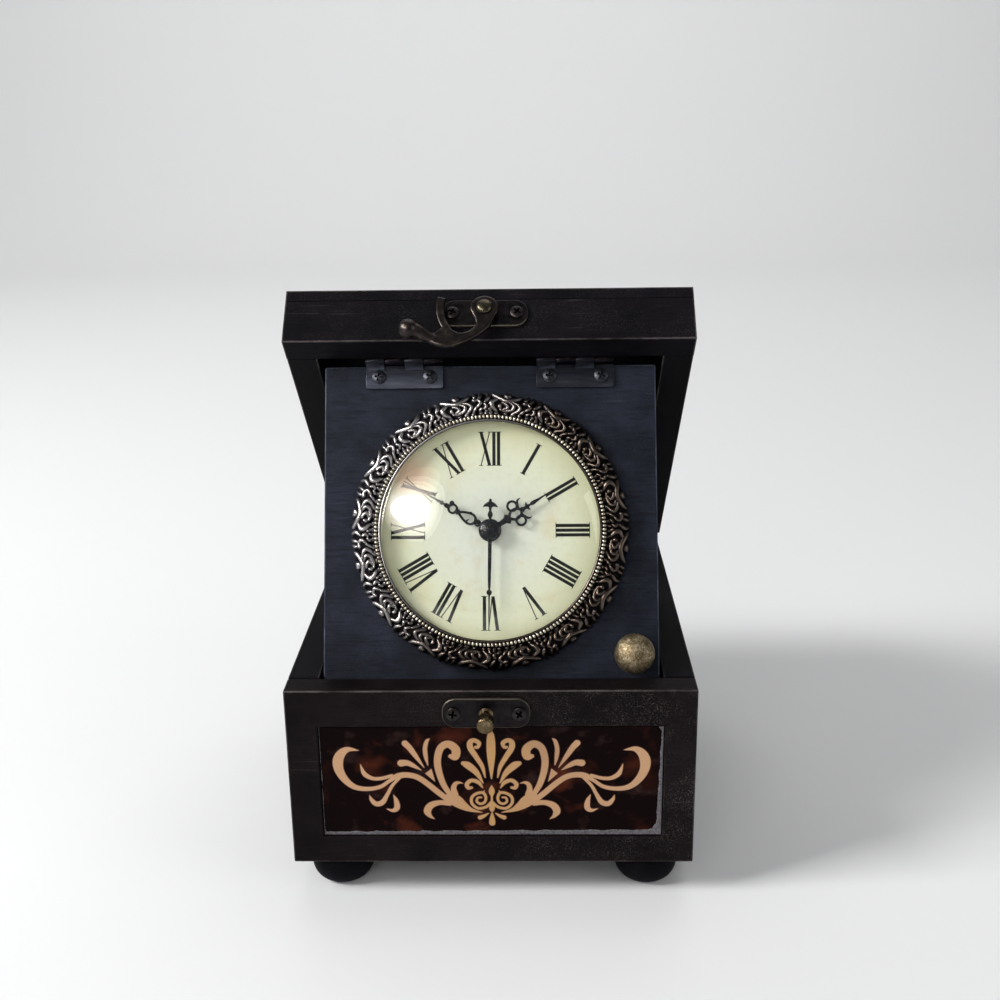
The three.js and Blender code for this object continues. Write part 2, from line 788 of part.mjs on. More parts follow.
function spindleNut() {
  const hexagon = rod(nutRadius, nutBack, nutFace, 6);
  return hexagon.subtract(rod(bushRadius + seatGap, nutBack - 1, nutFace + 1, 20));
}

// Hands are drawn pointing up, and turned by the group that holds them.

// Shapes joined into one flat hand, with windows cut through it.
function handSolid(shapes, windows, back) {
  const front = back + handThickness;
  const solid = union(shapes.map((shape) => plate(shape, back, front, 7)));
  return cut(solid, windows.map((shape) => plate(shape, back - 1, front + 1, 6)));
}

function round(radius, x = 0, z = 0) {
  const shape = new THREE.Shape();
  shape.absarc(x, z, radius, 0, Math.PI * 2);
  return shape;
}

// A bar between two points, with its own width at each.
function bar([x0, z0], [x1, z1], startWidth, endWidth) {
  const across = new THREE.Vector2(z0 - z1, x1 - x0).normalize();
  const corner = (x, z, offset) => new THREE.Vector2(x + across.x * offset, z + across.y * offset);
  return new THREE.Shape([
    corner(x0, z0, -startWidth / 2), corner(x1, z1, -endWidth / 2),
    corner(x1, z1, endWidth / 2), corner(x0, z0, startWidth / 2),
  ]);
}

function lozenge(z, length, width) {
  const shape = new THREE.Shape();
  shape.moveTo(0, z - length / 2);
  shape.quadraticCurveTo(width * 0.55, z - length * 0.18, width / 2, z);
  shape.quadraticCurveTo(width * 0.55, z + length * 0.18, 0, z + length / 2);
  shape.quadraticCurveTo(-width * 0.55, z + length * 0.18, -width / 2, z);
  shape.quadraticCurveTo(-width * 0.55, z - length * 0.18, 0, z - length / 2);
  return shape;
}

function hourHand() {
  const loops = [-hourLoopSpread, 0, hourLoopSpread];
  const horns = [-1, 1].map((side) => bar(
    [side * (hourLoopSpread + hourLoopBore * 0.3), hourHornRootZ], [side * hourHornSpread, hourHornTipZ],
    handSpacing * 4, handSpacing,
  ));
  const arms = [-1, 1].map((side) => bar(
    [0, hourSwellingZ], [side * hourLoopSpread, hourLoopZ - hourLoopRadius + handSpacing],
    hourSwellingRadius, handSpacing * 2,
  ));
  const shapes = [
    round(hourHubRadius), bar([0, 0], [0, hourSwellingZ], hourHubRadius, hourSwellingRadius),
    round(hourSwellingRadius, 0, hourSwellingZ), ...arms,
    ...loops.map((x) => round(hourLoopRadius, x, hourLoopZ)), ...horns,
    bar([0, hourHornRootZ], [0, hourFlareZ], hourLoopRadius, hourNeedleWidth / 2),
    lozenge(hourFlareZ, hourFlareWidth / 2, hourFlareWidth),
    bar([0, hourFlareZ], [0, hourHandLength], hourNeedleWidth / 2, hourNeedleWidth / 4),
    lozenge(hourNeedleZ, hourNeedleWidth * 2, hourNeedleWidth),
  ];
  const windows = loops.map((x) => round(hourLoopBore, x, hourLoopZ));
  const solid = handSolid(shapes, windows, hourBack);
  const inner = hourTubeRadius - tubeStep;
  const sleeve = tube(hourTubeRadius, inner, bushBack + seatGap, hourBack + handThickness);
  const bore = rod(inner, bushBack - 1, hourBack + 2, 20);
  return solid.add(sleeve).subtract(bore);
}

function minuteHand() {
  const windowShare = 0.64;
  const loops = [
    [minuteLoopZ, minuteLoopLength, minuteLoopWidth],
    [minuteTopLoopZ, minuteTopLoopLength, minuteTopLoopWidth],
  ];
  const shapes = [
    round(minuteHubRadius), bar([0, 0], [0, minuteLoopZ], minuteBeadRadius, minuteBeadRadius),
    round(minuteBeadRadius, 0, minuteBeadZ), ...loops.map((loop) => lozenge(...loop)),
    lozenge(minuteJointZ, minuteJointWidth * 1.6, minuteJointWidth),
    bar([0, minuteJointZ], [0, minuteNeedleZ], minuteBeadRadius, minuteNeedleWidth / 2),
    lozenge(minuteNeedleZ, minuteNeedleWidth * 2, minuteNeedleWidth),
    bar([0, minuteNeedleZ], [0, minuteHandLength], minuteNeedleWidth / 2, minuteNeedleWidth / 4),
  ];
  const windows = loops.map(([z, length, width]) => lozenge(z, length * windowShare, width * windowShare));
  const solid = handSolid(shapes, windows, minuteBack);
  const inner = secondArborRadius + secondArborGap;
  const sleeve = tube(minuteTubeRadius, inner, bushBack + seatGap, minuteBack + handThickness);
  const bore = rod(inner, bushBack - 1, minuteBack + 2, 20);
  return solid.add(sleeve).subtract(bore);
}

// The anchor-like crescent on the second hand's tail.
function tailCrescent() {
  const half = tailCrescentWidth / 2;
  const top = tailCrescentZ + tailCrescentRise;
  const middle = tailCrescentZ + tailCrescentRise / 2;
  const tipZ = tailCrescentZ + tailCrescentRise / 3;
  const shape = new THREE.Shape();
  shape.moveTo(0, tailCrescentZ);
  shape.quadraticCurveTo(-half * 0.3, middle, -half, tipZ);
  shape.quadraticCurveTo(-half * 0.5, top, 0, top);
  shape.quadraticCurveTo(half * 0.5, top, half, tipZ);
  shape.quadraticCurveTo(half * 0.3, middle, 0, tailCrescentZ);
  return shape;
}

function secondHand() {
  const back = secondBack;
  const pointer = handSolid([
    bar([0, 0], [0, secondHandLength], secondWidth, secondWidth * 0.4),
    round(secondBeadRadius, 0, secondBeadZ),
  ], [], back);
  const tail = handSolid([
    bar([0, 0], [0, secondTailLength], secondWidth * 0.7, secondWidth * 0.6),
    lozenge(tailSwellingZ, tailSwellingWidth * 1.8, tailSwellingWidth), tailCrescent(),
  ], [], back).rotate([0, 180, 0]);
  const boss = turned([
    [0, bushBack + seatGap], [secondArborRadius, bushBack + seatGap], [secondArborRadius, back],
    [bossRadius, back], [bossRadius, back + 0.6], [bossRadius * 0.85, back + bossHeight * 0.65],
    [bossRadius * 0.5, back + bossHeight * 0.94], [0, back + bossHeight],
  ], 24);
  return union([pointer, tail, boss]);
}

function pullKnob() {
  const seat = seatGap;
  const edge = knobNeckLength + knobFlare;
  const profile = [
    [knobNeckRadius + 1.4, seat], [knobNeckRadius + 1.4, seat + 0.8], [knobNeckRadius, seat + 1.6],
    [knobNeckRadius, knobNeckLength - 0.6], [knobRadius - 1.6, knobNeckLength], [knobRadius, edge],
  ];
  const steps = 6;
  for (let i = 1; i <= steps; i += 1) {
    const angle = ((Math.PI / 2) * i) / steps;
    profile.push([knobRadius * Math.cos(angle), edge + (knobHeight - edge) * Math.sin(angle)]);
  }
  profile[profile.length - 1][0] = 0;
  const bore = screwShankRadius + seatGap;
  const depth = knobScrewReach + seatGap;
  profile.push([0, depth], [bore, depth], [bore, seat], [knobNeckRadius + 1.4, seat]);
  return turned(profile, 24);
}

// The knob's screw comes through the board from behind.
function knobScrew() {
  const seat = -panelThickness - seatGap;
  return turned([
    [0, seat - 1.8], [screwHeadRadius * 0.7, seat - 1.8], [screwHeadRadius + 0.6, seat - 0.6],
    [screwHeadRadius + 0.6, seat], [screwShankRadius, seat], [screwShankRadius, knobScrewReach - 0.6],
    [0, knobScrewReach],
  ], 16);
}

// Materials

const finishes = {
  blackWood: { color: 0x211f22, roughness: 0.62, metalness: 0 },
  slateWood: { color: 0x262a33, roughness: 0.5, metalness: 0 },
  tileGlass: { color: 0x2a1410, roughness: 0.15, metalness: 0 },
  agedSteel: { color: 0x5c6068, roughness: 0.45, metalness: 0.9 },
  agedBronze: { color: 0x57503f, roughness: 0.45, metalness: 0.9 },
  agedBrass: { color: 0x86764f, roughness: 0.4, metalness: 0.9 },
  bezelMetal: { color: 0x6e675a, roughness: 0.42, metalness: 0.9 },
  clearGlass: { color: 0xf2f5f5, roughness: 0.04, metalness: 0 },
  dialPaper: { color: 0xe6e6c4, roughness: 0.7, metalness: 0 },
  handBlack: { color: 0x0d0d0e, roughness: 0.4, metalness: 0.3 },
  casePlastic: { color: 0x151516, roughness: 0.5, metalness: 0 },
  batteryJacket: { color: 0x3b4148, roughness: 0.35, metalness: 0.3 },
  zincSteel: { color: 0x9b9d9e, roughness: 0.35, metalness: 0.95 },
};

function part(name, solid, finish) {
  const mesh = new THREE.Mesh(toGeometry(solid), new THREE.MeshStandardMaterial(finishes[finish]));
  mesh.name = name;
  return mesh;
}

// Assembly

function buildBase() {
  const base = new THREE.Group();
  base.add(part('base_front_wall', frontWall(), 'blackWood'));
  base.add(part('base_back_wall', backWall(), 'blackWood'));
  base.add(part('base_left_wall', sideWall(-1), 'blackWood'));
  base.add(part('base_right_wall', sideWall(1), 'blackWood'));
  base.add(part('base_bottom_board', bottomBoard(), 'blackWood'));
  base.add(part('glass_tile', glassTile(), 'tileGlass'));
  for (const [place, x, y] of footPlaces()) {
    base.add(part(`foot_${place}`, foot().translate([x, y, 0]), 'blackWood'));
  }
  const catchPlate = latchPlate(catchShankRadius + seatGap).translate([latchX, 0, catchZ]);
  base.add(part('catch_plate', catchPlate, 'agedBronze'));
  for (const [word, solid] of latchScrews(catchZ)) base.add(part(`catch_screw_${word}`, solid, 'agedBronze'));
  base.add(part('catch_pin', catchPin().translate([latchX, 0, catchZ]), 'agedBrass'));
  for (const [word, side] of sides) {
    const leaf = screwedLeaf(rearLeafWidth, rearLeafHeight, 0);
    base.add(part(`rear_hinge_base_leaf_${word}`, atRearHinge(leaf, side, false), 'agedSteel'));
    const pin = atRearHinge(hingePin(rearLeafWidth), side, false);
    base.add(part(`rear_hinge_pin_${word}`, pin, 'agedSteel'));
  }
  return base;
}

function buildHook() {
  const pivot = new THREE.Group();
  pivot.position.set(latchX, 0, latchZ);
  pivot.add(part('latch_hook', hook(), 'agedBronze'));
  return pivot;
}

function buildLid() {
  const frame = new THREE.Group();
  frame.add(part('lid_front_rail', lidFrontRail(), 'blackWood'));
  frame.add(part('lid_back_rail', lidBackRail(), 'blackWood'));
  frame.add(part('lid_left_rail', lidSideRail(-1), 'blackWood'));
  frame.add(part('lid_right_rail', lidSideRail(1), 'blackWood'));
  frame.add(part('lid_top_board', lidTopBoard(), 'blackWood'));
  for (const [word, side] of sides) {
    // Turned about X instead of Z, the lid's leaf takes the knuckles that the base's leaf leaves free.
    const rearLeaf = screwedLeaf(rearLeafWidth, rearLeafHeight, 0);
    frame.add(part(`rear_hinge_lid_leaf_${word}`, atRearHinge(rearLeaf, side, true), 'agedSteel'));
    const railLeaf = screwedLeaf(panelLeafWidth, panelLeafHeight, 1);
    frame.add(part(`panel_hinge_rail_leaf_${word}`, atRailLeaf(railLeaf, side), 'agedBronze'));
    frame.add(part(`panel_hinge_pin_${word}`, atRailLeaf(hingePin(panelLeafWidth), side), 'agedSteel'));
  }
  const hookPlate = latchPlate(rivetShankRadius + seatGap).translate([latchX, 0, latchZ]);
  frame.add(part('latch_plate', hookPlate, 'agedBronze'));
  for (const [word, solid] of latchScrews(latchZ)) {
    frame.add(part(`latch_screw_${word}`, solid, 'agedBronze'));
  }
  frame.add(part('latch_rivet', rivet().translate([latchX, 0, latchZ]), 'agedBrass'));
  frame.add(buildHook());
  return frame;
}

function buildHand(name, solid, angle) {
  const arbor = new THREE.Group();
  arbor.position.set(0, barrelOffset, clockZ);
  arbor.rotation.y = angle;
  arbor.add(part(name, solid, 'handBlack'));
  return arbor;
}

function buildPanel() {
  const panel = new THREE.Group();
  panel.add(part('clock_panel', panelBoard(), 'slateWood'));
  for (const [word, side] of sides) {
    const hingeX = side * panelHingeOffset;
    const leaf = hingeLeaf(panelLeafWidth, panelLeafHeight, 0, leafHoles(panelLeafWidth, panelLeafHeight));
    panel.add(part(`panel_hinge_leaf_${word}`, leaf.translate([hingeX, 0, 0]), 'agedSteel'));
    leafScrews(panelLeafWidth, panelLeafHeight, seatGap, 14).forEach((solid, i) => {
      const screwWord = i === 0 ? 'outer' : 'inner';
      const place = side < 0 ? screwWord : { outer: 'inner', inner: 'outer' }[screwWord];
      const placed = solid.translate([hingeX, 0, 0]);
      panel.add(part(`panel_hinge_screw_${word}_${place}`, placed, 'agedSteel'));
    });
  }
  panel.add(part('bezel', atClock(bezel()), 'bezelMetal'));
  panel.add(part('clock_glass', atClock(domedGlass()), 'clearGlass'));
  panel.add(part('glass_spacer_ring', atClock(spacerRing()), 'agedBrass'));
  panel.add(part('dial', atClock(dial()), 'dialPaper'));
  panel.add(part('dial_plate', atClock(dialPlate()), 'zincSteel'));
  panel.add(part('movement_case', atClock(movementCase()), 'casePlastic'));
  panel.add(part('battery', atClock(battery()), 'batteryJacket'));
  for (const [word, side] of sides) {
    panel.add(part(`battery_contact_${word}`, atClock(batteryContact(side)), 'zincSteel'));
  }
  panel.add(part('spindle_bush', atClock(spindleBush()), 'agedBrass'));
  panel.add(part('spindle_nut', atClock(spindleNut()), 'agedBrass'));
  const setKnobPivot = new THREE.Group();
  setKnobPivot.position.set(setKnobX, barrelOffset, clockZ + setKnobZ);
  setKnobPivot.add(part('set_knob', setKnob(), 'casePlastic'));
  panel.add(setKnobPivot);
  panel.add(buildHand('hour_hand', hourHand(), hourHandAngle));
  panel.add(buildHand('minute_hand', minuteHand(), minuteHandAngle));
  panel.add(buildHand('second_hand', secondHand(), secondHandAngle));
  panel.add(part('pull_knob', atKnob(pullKnob()), 'agedBrass'));
  panel.add(part('knob_screw', atKnob(knobScrew()), 'zincSteel'));
  return panel;
}

// The panel's group turns on its hinge axis inside the lid's frame, and the lid on the rear axis.
function assemble() {
  const panelPivot = buildPanel();
  panelPivot.name = 'panel_pivot';
  panelPivot.position.set(0, panelAxisY, panelAxisZ);
  panelPivot.rotation.x = openAngle - lean;

  const lidFrame = buildLid();
  lidFrame.position.set(0, -rearAxisY, -rearAxisZ);
  lidFrame.add(panelPivot);
  const lidPivot = new THREE.Group();
  lidPivot.name = 'lid_pivot';
  lidPivot.position.set(0, rearAxisY, rearAxisZ);
  lidPivot.rotation.x = -openAngle;
  lidPivot.add(lidFrame);

  const model = new THREE.Group();
  model.add(buildBase(), lidPivot);
  return model;
}

// The origin is the middle of the object's box, on the surface that it stands on.
function centred(model) {
  model.updateMatrixWorld(true);
  const bounds = new THREE.Box3().setFromObject(model, true);
  const middle = bounds.getCenter(new THREE.Vector3());
  model.position.set(-middle.x, -middle.y, -bounds.min.z);
  const root = new THREE.Group();
  root.add(model);
  return root;
}

export default centred(assemble());
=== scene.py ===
import json
import math

import bmesh
import bpy
import numpy as np
from mathutils import Matrix, Vector


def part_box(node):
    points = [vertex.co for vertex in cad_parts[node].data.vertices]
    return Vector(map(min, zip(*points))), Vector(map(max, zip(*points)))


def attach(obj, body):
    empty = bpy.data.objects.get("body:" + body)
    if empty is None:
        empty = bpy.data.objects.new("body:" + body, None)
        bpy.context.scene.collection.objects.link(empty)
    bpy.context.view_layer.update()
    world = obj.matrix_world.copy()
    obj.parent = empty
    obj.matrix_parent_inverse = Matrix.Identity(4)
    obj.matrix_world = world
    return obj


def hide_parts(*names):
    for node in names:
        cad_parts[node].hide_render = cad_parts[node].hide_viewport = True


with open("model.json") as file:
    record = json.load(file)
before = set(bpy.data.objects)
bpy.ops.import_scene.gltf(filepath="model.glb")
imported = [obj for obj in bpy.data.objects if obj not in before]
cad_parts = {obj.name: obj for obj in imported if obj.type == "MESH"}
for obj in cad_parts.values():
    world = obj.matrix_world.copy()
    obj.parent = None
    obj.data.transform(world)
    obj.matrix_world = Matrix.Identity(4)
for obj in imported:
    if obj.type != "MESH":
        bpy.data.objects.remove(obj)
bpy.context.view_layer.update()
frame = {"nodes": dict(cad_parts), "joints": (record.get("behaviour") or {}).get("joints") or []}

MM = 0.001

# Places in the object, from its joints. In each, X is to the right, Y to the back and Z upwards.
JOINTS = {joint["name"]: joint for joint in frame["joints"]}
CLOCK_AXIS = Vector(JOINTS["minute_hand_turn"]["axis"])
LID_TURN = math.radians(JOINTS["lid_hinge"]["range_deg"][0])
LEAN = math.atan2(CLOCK_AXIS.z, CLOCK_AXIS.y)


def at_joint(joint, turn):
    """The place at a joint's pivot, turned about X by an angle in radians."""
    return Matrix.Translation(JOINTS[joint]["pos_m"]) @ Matrix.Rotation(turn, 4, "X")


BASE = Matrix.Identity(4)
LID = at_joint("lid_hinge", LID_TURN) @ Matrix.Translation(-Vector(JOINTS["lid_hinge"]["pos_m"]))
PANEL = at_joint("panel_hinge", LEAN)
CLOCK = at_joint("minute_hand_turn", LEAN)
HOOK = at_joint("hook_pivot", LID_TURN)


class Box:
    """A CAD node's corners, middle and half size in one of those places."""

    def __init__(self, node, place):
        to_local = place.inverted()
        points = np.array([to_local @ v.co for v in frame["nodes"][node].data.vertices])
        self.low, self.high = Vector(points.min(0)), Vector(points.max(0))
        self.middle = (self.low + self.high) / 2
        self.half = (self.high - self.low) / 2


# Camera, at the photograph's viewing angle

IMAGE_SIZE = 1000
FOCAL_PIXELS = 1319.06
SENSOR_WIDTH = 36
CAMERA_PLACE = (0.0153844, -0.515583, 0.2962383)
CAMERA_PITCH = math.radians(17.896)
CAMERA_YAW = math.radians(-1.432)
CAMERA_ROLL = math.radians(-0.817)


def linked(name, data):
    """A new object in the scene."""
    obj = bpy.data.objects.new(name, data)
    bpy.context.scene.collection.objects.link(obj)
    return obj


def camera_rotation():
    """The camera's axes as columns, from how far it looks down, sideways and tilted."""
    level = Matrix(((1, 0, 0), (0, 0, -1), (0, 1, 0)))
    down = Matrix.Rotation(CAMERA_PITCH, 3, "X")
    sideways = Matrix.Rotation(-CAMERA_YAW, 3, "Y")
    tilted = Matrix.Rotation(CAMERA_ROLL, 3, "Z")
    rows = tilted @ down @ sideways @ level
    return Matrix((rows[0], -rows[1], -rows[2])).transposed()


def add_camera():
    data = bpy.data.cameras.new("camera")
    data.sensor_width = SENSOR_WIDTH
    data.lens = FOCAL_PIXELS / IMAGE_SIZE * SENSOR_WIDTH
    data.clip_start = 0.02
    data.clip_end = 60
    camera = linked("camera", data)
    camera.matrix_world = Matrix.Translation(CAMERA_PLACE) @ camera_rotation().to_4x4()
    bpy.context.scene.camera = camera


# Material nodes


class Finish:
    """A material's node tree, with short names for the nodes used here."""

    def __init__(self, name, **sockets):
        self.material = bpy.data.materials.new(name)
        self.material.use_nodes = True
        self.tree = self.material.node_tree
        self.shader = self.tree.nodes["Principled BSDF"]
        for socket, value in sockets.items():
            self.shader.inputs[socket.replace("_", " ")].default_value = value

    def put(self, socket, value):
        """Links a socket to another one, or sets it to a value."""
        if isinstance(value, bpy.types.NodeSocket):
            self.tree.links.new(value, socket)
        elif value is not None:
            socket.default_value = value

    def node(self, kind, inputs, output, **settings):
        """A new node's output, once its settings and inputs are set."""
        made = self.tree.nodes.new("ShaderNode" + kind)
        for key, value in settings.items():
            setattr(made, key, value)
        for key, value in inputs.items():
            self.put(made.inputs[key], value)
        return made.outputs[output]

    def math(self, operation, a, b=None, clamp=False):
        return self.node("Math", {0: a, 1: b}, 0, operation=operation, use_clamp=clamp)

    def times(self, a, b):
        return self.math("MULTIPLY", a, b)

    def plus(self, a, b, clamp=False):
        return self.math("ADD", a, b, clamp)

    def vector(self, operation, a, b=None, output=0):
        return self.node("VectorMath", {0: a, 1: b}, output, operation=operation)

    def axis(self, vector, letter):
        """One of a vector's three numbers."""
        return self.node("SeparateXYZ", {0: vector}, letter)

    def mix(self, factor, a, b):
        return self.node("Mix", {0: factor, 6: a, 7: b}, 2, data_type="RGBA")

    def tint(self, tone, colour, factor, *stops):
        """A tone with a colour over it, as strong as the ramp says."""
        return self.mix(self.ramp(factor, *stops), tone, colour)

    def coordinates(self, kind):
        return self.node("TexCoord", {}, kind)

    def place(self, scale=(1, 1, 1), turn=(0, 0, 0)):
        """The piece's own coordinates in millimetres, scaled and turned."""
        inputs = {"Vector": self.coordinates("Object"), "Rotation": turn}
        return self.node("Mapping", {**inputs, "Scale": [s / MM for s in scale]}, 0)

    def noise(self, vector, scale, detail=4, roughness=0.55, distortion=0):
        inputs = {"Vector": vector, "Scale": scale, "Detail": detail, "Roughness": roughness,
                  "Distortion": distortion}
        return self.node("TexNoise", inputs, 0)

    def ramp(self, factor, *stops):
        """Values or colours along a factor, each stop being (place, value)."""
        output = self.node("ValToRGB", {0: factor}, 0)
        band = output.node.color_ramp.elements
        while len(band) < len(stops):
            band.new(0.5)
        for element, (place, value) in zip(band, stops):
            element.position = place
            element.color = (value,) * 3 + (1,) if isinstance(value, (int, float)) else value
        return output

    def attribute(self, name, kind="GEOMETRY", output="Fac"):
        return self.node("Attribute", {}, output, attribute_type=kind, attribute_name=name)

    def colour(self, value):
        self.put(self.shader.inputs["Base Color"], value)

    def roughness(self, factor, low, high):
        self.put(self.shader.inputs["Roughness"], self.ramp(factor, (0.3, low), (0.7, high)))

    def bump(self, height, depth):
        inputs = {"Strength": 1, "Distance": depth * MM, "Height": height}
        self.put(self.shader.inputs["Normal"], self.node("Bump", inputs, 0))


def rgb(red, green, blue):
    """A colour as seen on screen, 0 to 255, as the shader's linear colour."""
    def linear(value):
        value /= 255
        return value / 12.92 if value <= 0.04045 else ((value + 0.055) / 1.055) ** 2.4

    return (linear(red), linear(green), linear(blue), 1)


def edge_distance(finish):
    """How far a point on a board is from the board's nearest edge, in millimetres."""
    here = finish.coordinates("Object")
    from_low = finish.vector("SUBTRACT", here, finish.attribute("wear_low", "OBJECT", "Vector"))
    to_high = finish.vector("SUBTRACT", finish.attribute("wear_high", "OBJECT", "Vector"), here)
    nearest = finish.vector("MINIMUM", from_low, to_high)
    x, y, z = (finish.axis(nearest, letter) for letter in "XYZ")
    lower, higher = finish.math("MINIMUM", x, y), finish.math("MAXIMUM", x, y)
    second = finish.math("MAXIMUM", lower, finish.math("MINIMUM", higher, z))
    return finish.math("DIVIDE", second, MM)


# How much a pattern is stretched along the grain of a board
GRAIN = {"x": (0.07, 1, 1), "y": (1, 0.07, 1), "z": (1, 1, 0.07)}


def wood(name, axis, base, light, worn, dust_amount, grain_amount, slant=0, gloss=0.04):
    """Painted wood: faint pores along the grain, patches of pale dust, scratches, and worn edges.

    Pale dust lies thick on upright faces, and is kept thin on tops and off faces that look down,
    which paints shade on those faces. With a slant it grows from left to right, by that much for
    each millimetre."""
    finish = Finish(name, IOR=1.45, Specular_IOR_Level=gloss)
    whole = finish.place()
    grain = finish.noise(finish.place(GRAIN[axis]), 1.6, 6, 0.62)
    cloud = finish.noise(whole, 0.045, 5, 0.6)
    pebble = finish.noise(whole, 1.7, 5, 0.72)
    patch = finish.noise(whole, 0.075, 4, 0.62)
    tone = finish.tint(base, light, cloud, (0.38, 0), (0.66, 1))
    tone = finish.tint(tone, rgb(7, 6, 8), grain, (0.36, grain_amount), (0.5, 0))
    dust = finish.times(finish.ramp(pebble, (0.51, 0), (0.66, 1)),
                        finish.ramp(patch, (0.42, 0.12), (0.62, 1)))
    # Painted shade: less pale dust on tops and none on faces that look down, so these stay darker
    facing_for_shade = finish.times(finish.plus(finish.axis(finish.coordinates("Normal"), "Z"), 1), 0.5)
    dust = finish.times(dust, finish.ramp(facing_for_shade, (0.15, 0), (0.45, 1), (0.75, 1), (0.95, 0.2)))
    if slant:
        rising = finish.plus(finish.times(finish.axis(whole, "X"), slant), 0.45, clamp=True)
        dust = finish.times(dust, rising)
    tone = finish.mix(finish.times(dust, dust_amount), tone, worn)
    scratch = finish.noise(finish.place((0.05, 1.6, 1.6), (0.3, 0.5, 0.2)), 1.1, 2, 0.5)
    scratched = finish.times(finish.ramp(scratch, (0.67, 0), (0.72, 0.2)),
                             finish.ramp(cloud, (0.45, 0), (0.6, 1)))
    tone = finish.mix(scratched, tone, worn)
    ragged = finish.times(finish.noise(whole, 0.5, 5, 0.7), 0.75)
    distance = finish.math("SUBTRACT", edge_distance(finish), ragged)
    wear = finish.times(finish.ramp(distance, (0, 0.85), (0.2, 0)),
                        finish.ramp(patch, (0.34, 0.15), (0.6, 1)))
    finish.colour(finish.mix(wear, tone, worn))
    finish.roughness(cloud, 0.46, 0.62)
    finish.bump(finish.mix(0.5, grain, pebble), 0.16)
    return finish.material


def metal(name, base, dark, light, roughness, pits=0.04, stretch=(1, 1, 1), pin_shade=False, specks=0):
    """Aged metal: soft patina, small dark pits, and brighter rubbed spots.

    A hinge leaf is darkened towards its pin, which lies at its height of zero, as painted shade.
    Specks are brown squiggles among small rubbed spots."""
    finish = Finish(name, Metallic=1)
    whole = finish.place()
    patina = finish.noise(finish.place(stretch), 0.3, 5, 0.62)
    spots = finish.node("TexVoronoi", {"Vector": whole, "Scale": 0.9}, "Distance")
    fine = finish.noise(whole, 2.6, 4, 0.6)
    tone = finish.tint(rgb(*dark), rgb(*base), patina, (0.36, 0), (0.54, 1))
    tone = finish.tint(tone, rgb(*light), patina, (0.55, 0), (0.74, 1))
    if specks:
        grains = finish.noise(whole, 0.85, 4, 0.7)
        tone = finish.tint(tone, rgb(*light), grains, (0.33, specks), (0.43, 0))
        tone = finish.tint(tone, rgb(52, 44, 34), grains, (0.46, 0), (0.49, specks), (0.53, specks),
                           (0.56, 0))
    if pin_shade:
        # Painted shade: the leaf gets darker towards its pin
        shade_near_pin = finish.plus(finish.times(finish.axis(whole, "Z"), 0.25), 1)
        tone = finish.tint(tone, rgb(22, 21, 24), shade_near_pin, (0.2, 0), (0.75, 0.75))
    finish.colour(finish.tint(tone, rgb(*dark), spots, (0.06, 0.7), (0.16, 0)))
    finish.roughness(fine, roughness - 0.1, roughness + 0.1)
    pitted = finish.ramp(spots, (0.04, 0), (0.18, 1))
    finish.bump(finish.plus(finish.times(fine, 0.4), pitted), pits)
    return finish.material


def plate_finish():
    """Blackened latch plates, bright along their bevelled outline: rubbed metal, and a painted
    highlight on the bevel.
    """
    finish = Finish("plate_bronze", Metallic=1)
    whole = finish.place()
    patina = finish.noise(whole, 0.4, 5, 0.6)
    tone = finish.tint(rgb(27, 25, 27), rgb(40, 37, 38), patina, (0.36, 0), (0.66, 1))
    ragged = finish.plus(finish.attribute("inset"), finish.times(patina, 0.5))
    # The pale outline is partly rubbed metal and partly a painted highlight along the bevel
    finish.colour(finish.tint(tone, rgb(124, 116, 104), ragged, (0.3, 0.8), (0.62, 0)))
    finish.roughness(patina, 0.34, 0.5)
    finish.bump(finish.noise(whole, 2.4, 4, 0.6), 0.04)
    return finish.material


# The bezel's tones from recess to ridge, as (height, lit at the left, with painted shade at the
# right and below)
BEZEL_TONES = [
    (0.12, rgb(23, 21, 24), rgb(19, 16, 17)), (0.4, rgb(70, 67, 71), rgb(38, 33, 33)),
    (0.7, rgb(120, 117, 120), rgb(58, 51, 49)), (1, rgb(176, 173, 171), rgb(98, 88, 79)),
]


def bezel_finish():
    """Blackened recesses under worn ridges; painted light makes the ridges silver-grey at the left,
    and painted shade makes them browner at the right and below.
    """
    finish = Finish("bezel_metal", Metallic=1)
    whole = finish.place()
    uneven = finish.times(finish.noise(whole, 0.5, 4, 0.6), 0.3)
    height = finish.plus(finish.math("SUBTRACT", finish.attribute("relief"), 0.15), uneven)
    lit_tones = finish.ramp(height, *((at, left) for at, left, _ in BEZEL_TONES))
    brown = finish.ramp(height, *((at, right) for at, _, right in BEZEL_TONES))
    # Painted light and shade: ridges lighter at the left where the light falls, darker at the right
    # and below
    x, z = finish.axis(whole, "X"), finish.axis(whole, "Z")
    slanting = finish.math("SUBTRACT", x, finish.times(z, 0.45))
    side = finish.plus(finish.math("DIVIDE", slanting, 110), finish.plus(uneven, 0.35))
    finish.colour(finish.tint(lit_tones, brown, side, (0.12, 0), (0.55, 1)))
    finish.put(finish.shader.inputs["Roughness"], finish.ramp(height, (0.3, 0.55), (0.9, 0.3)))
    finish.bump(finish.noise(whole, 2.2, 4, 0.6), 0.05)
    return finish.material


# How far the tile reaches to each side of its middle, for finishes that change on the way
TILE_REACH = 60


def from_middle(finish, whole):
    """How far a point is to the side of the middle, as a share of the tile's reach."""
    return finish.math("DIVIDE", finish.math("ABSOLUTE", finish.axis(whole, "X")), TILE_REACH)


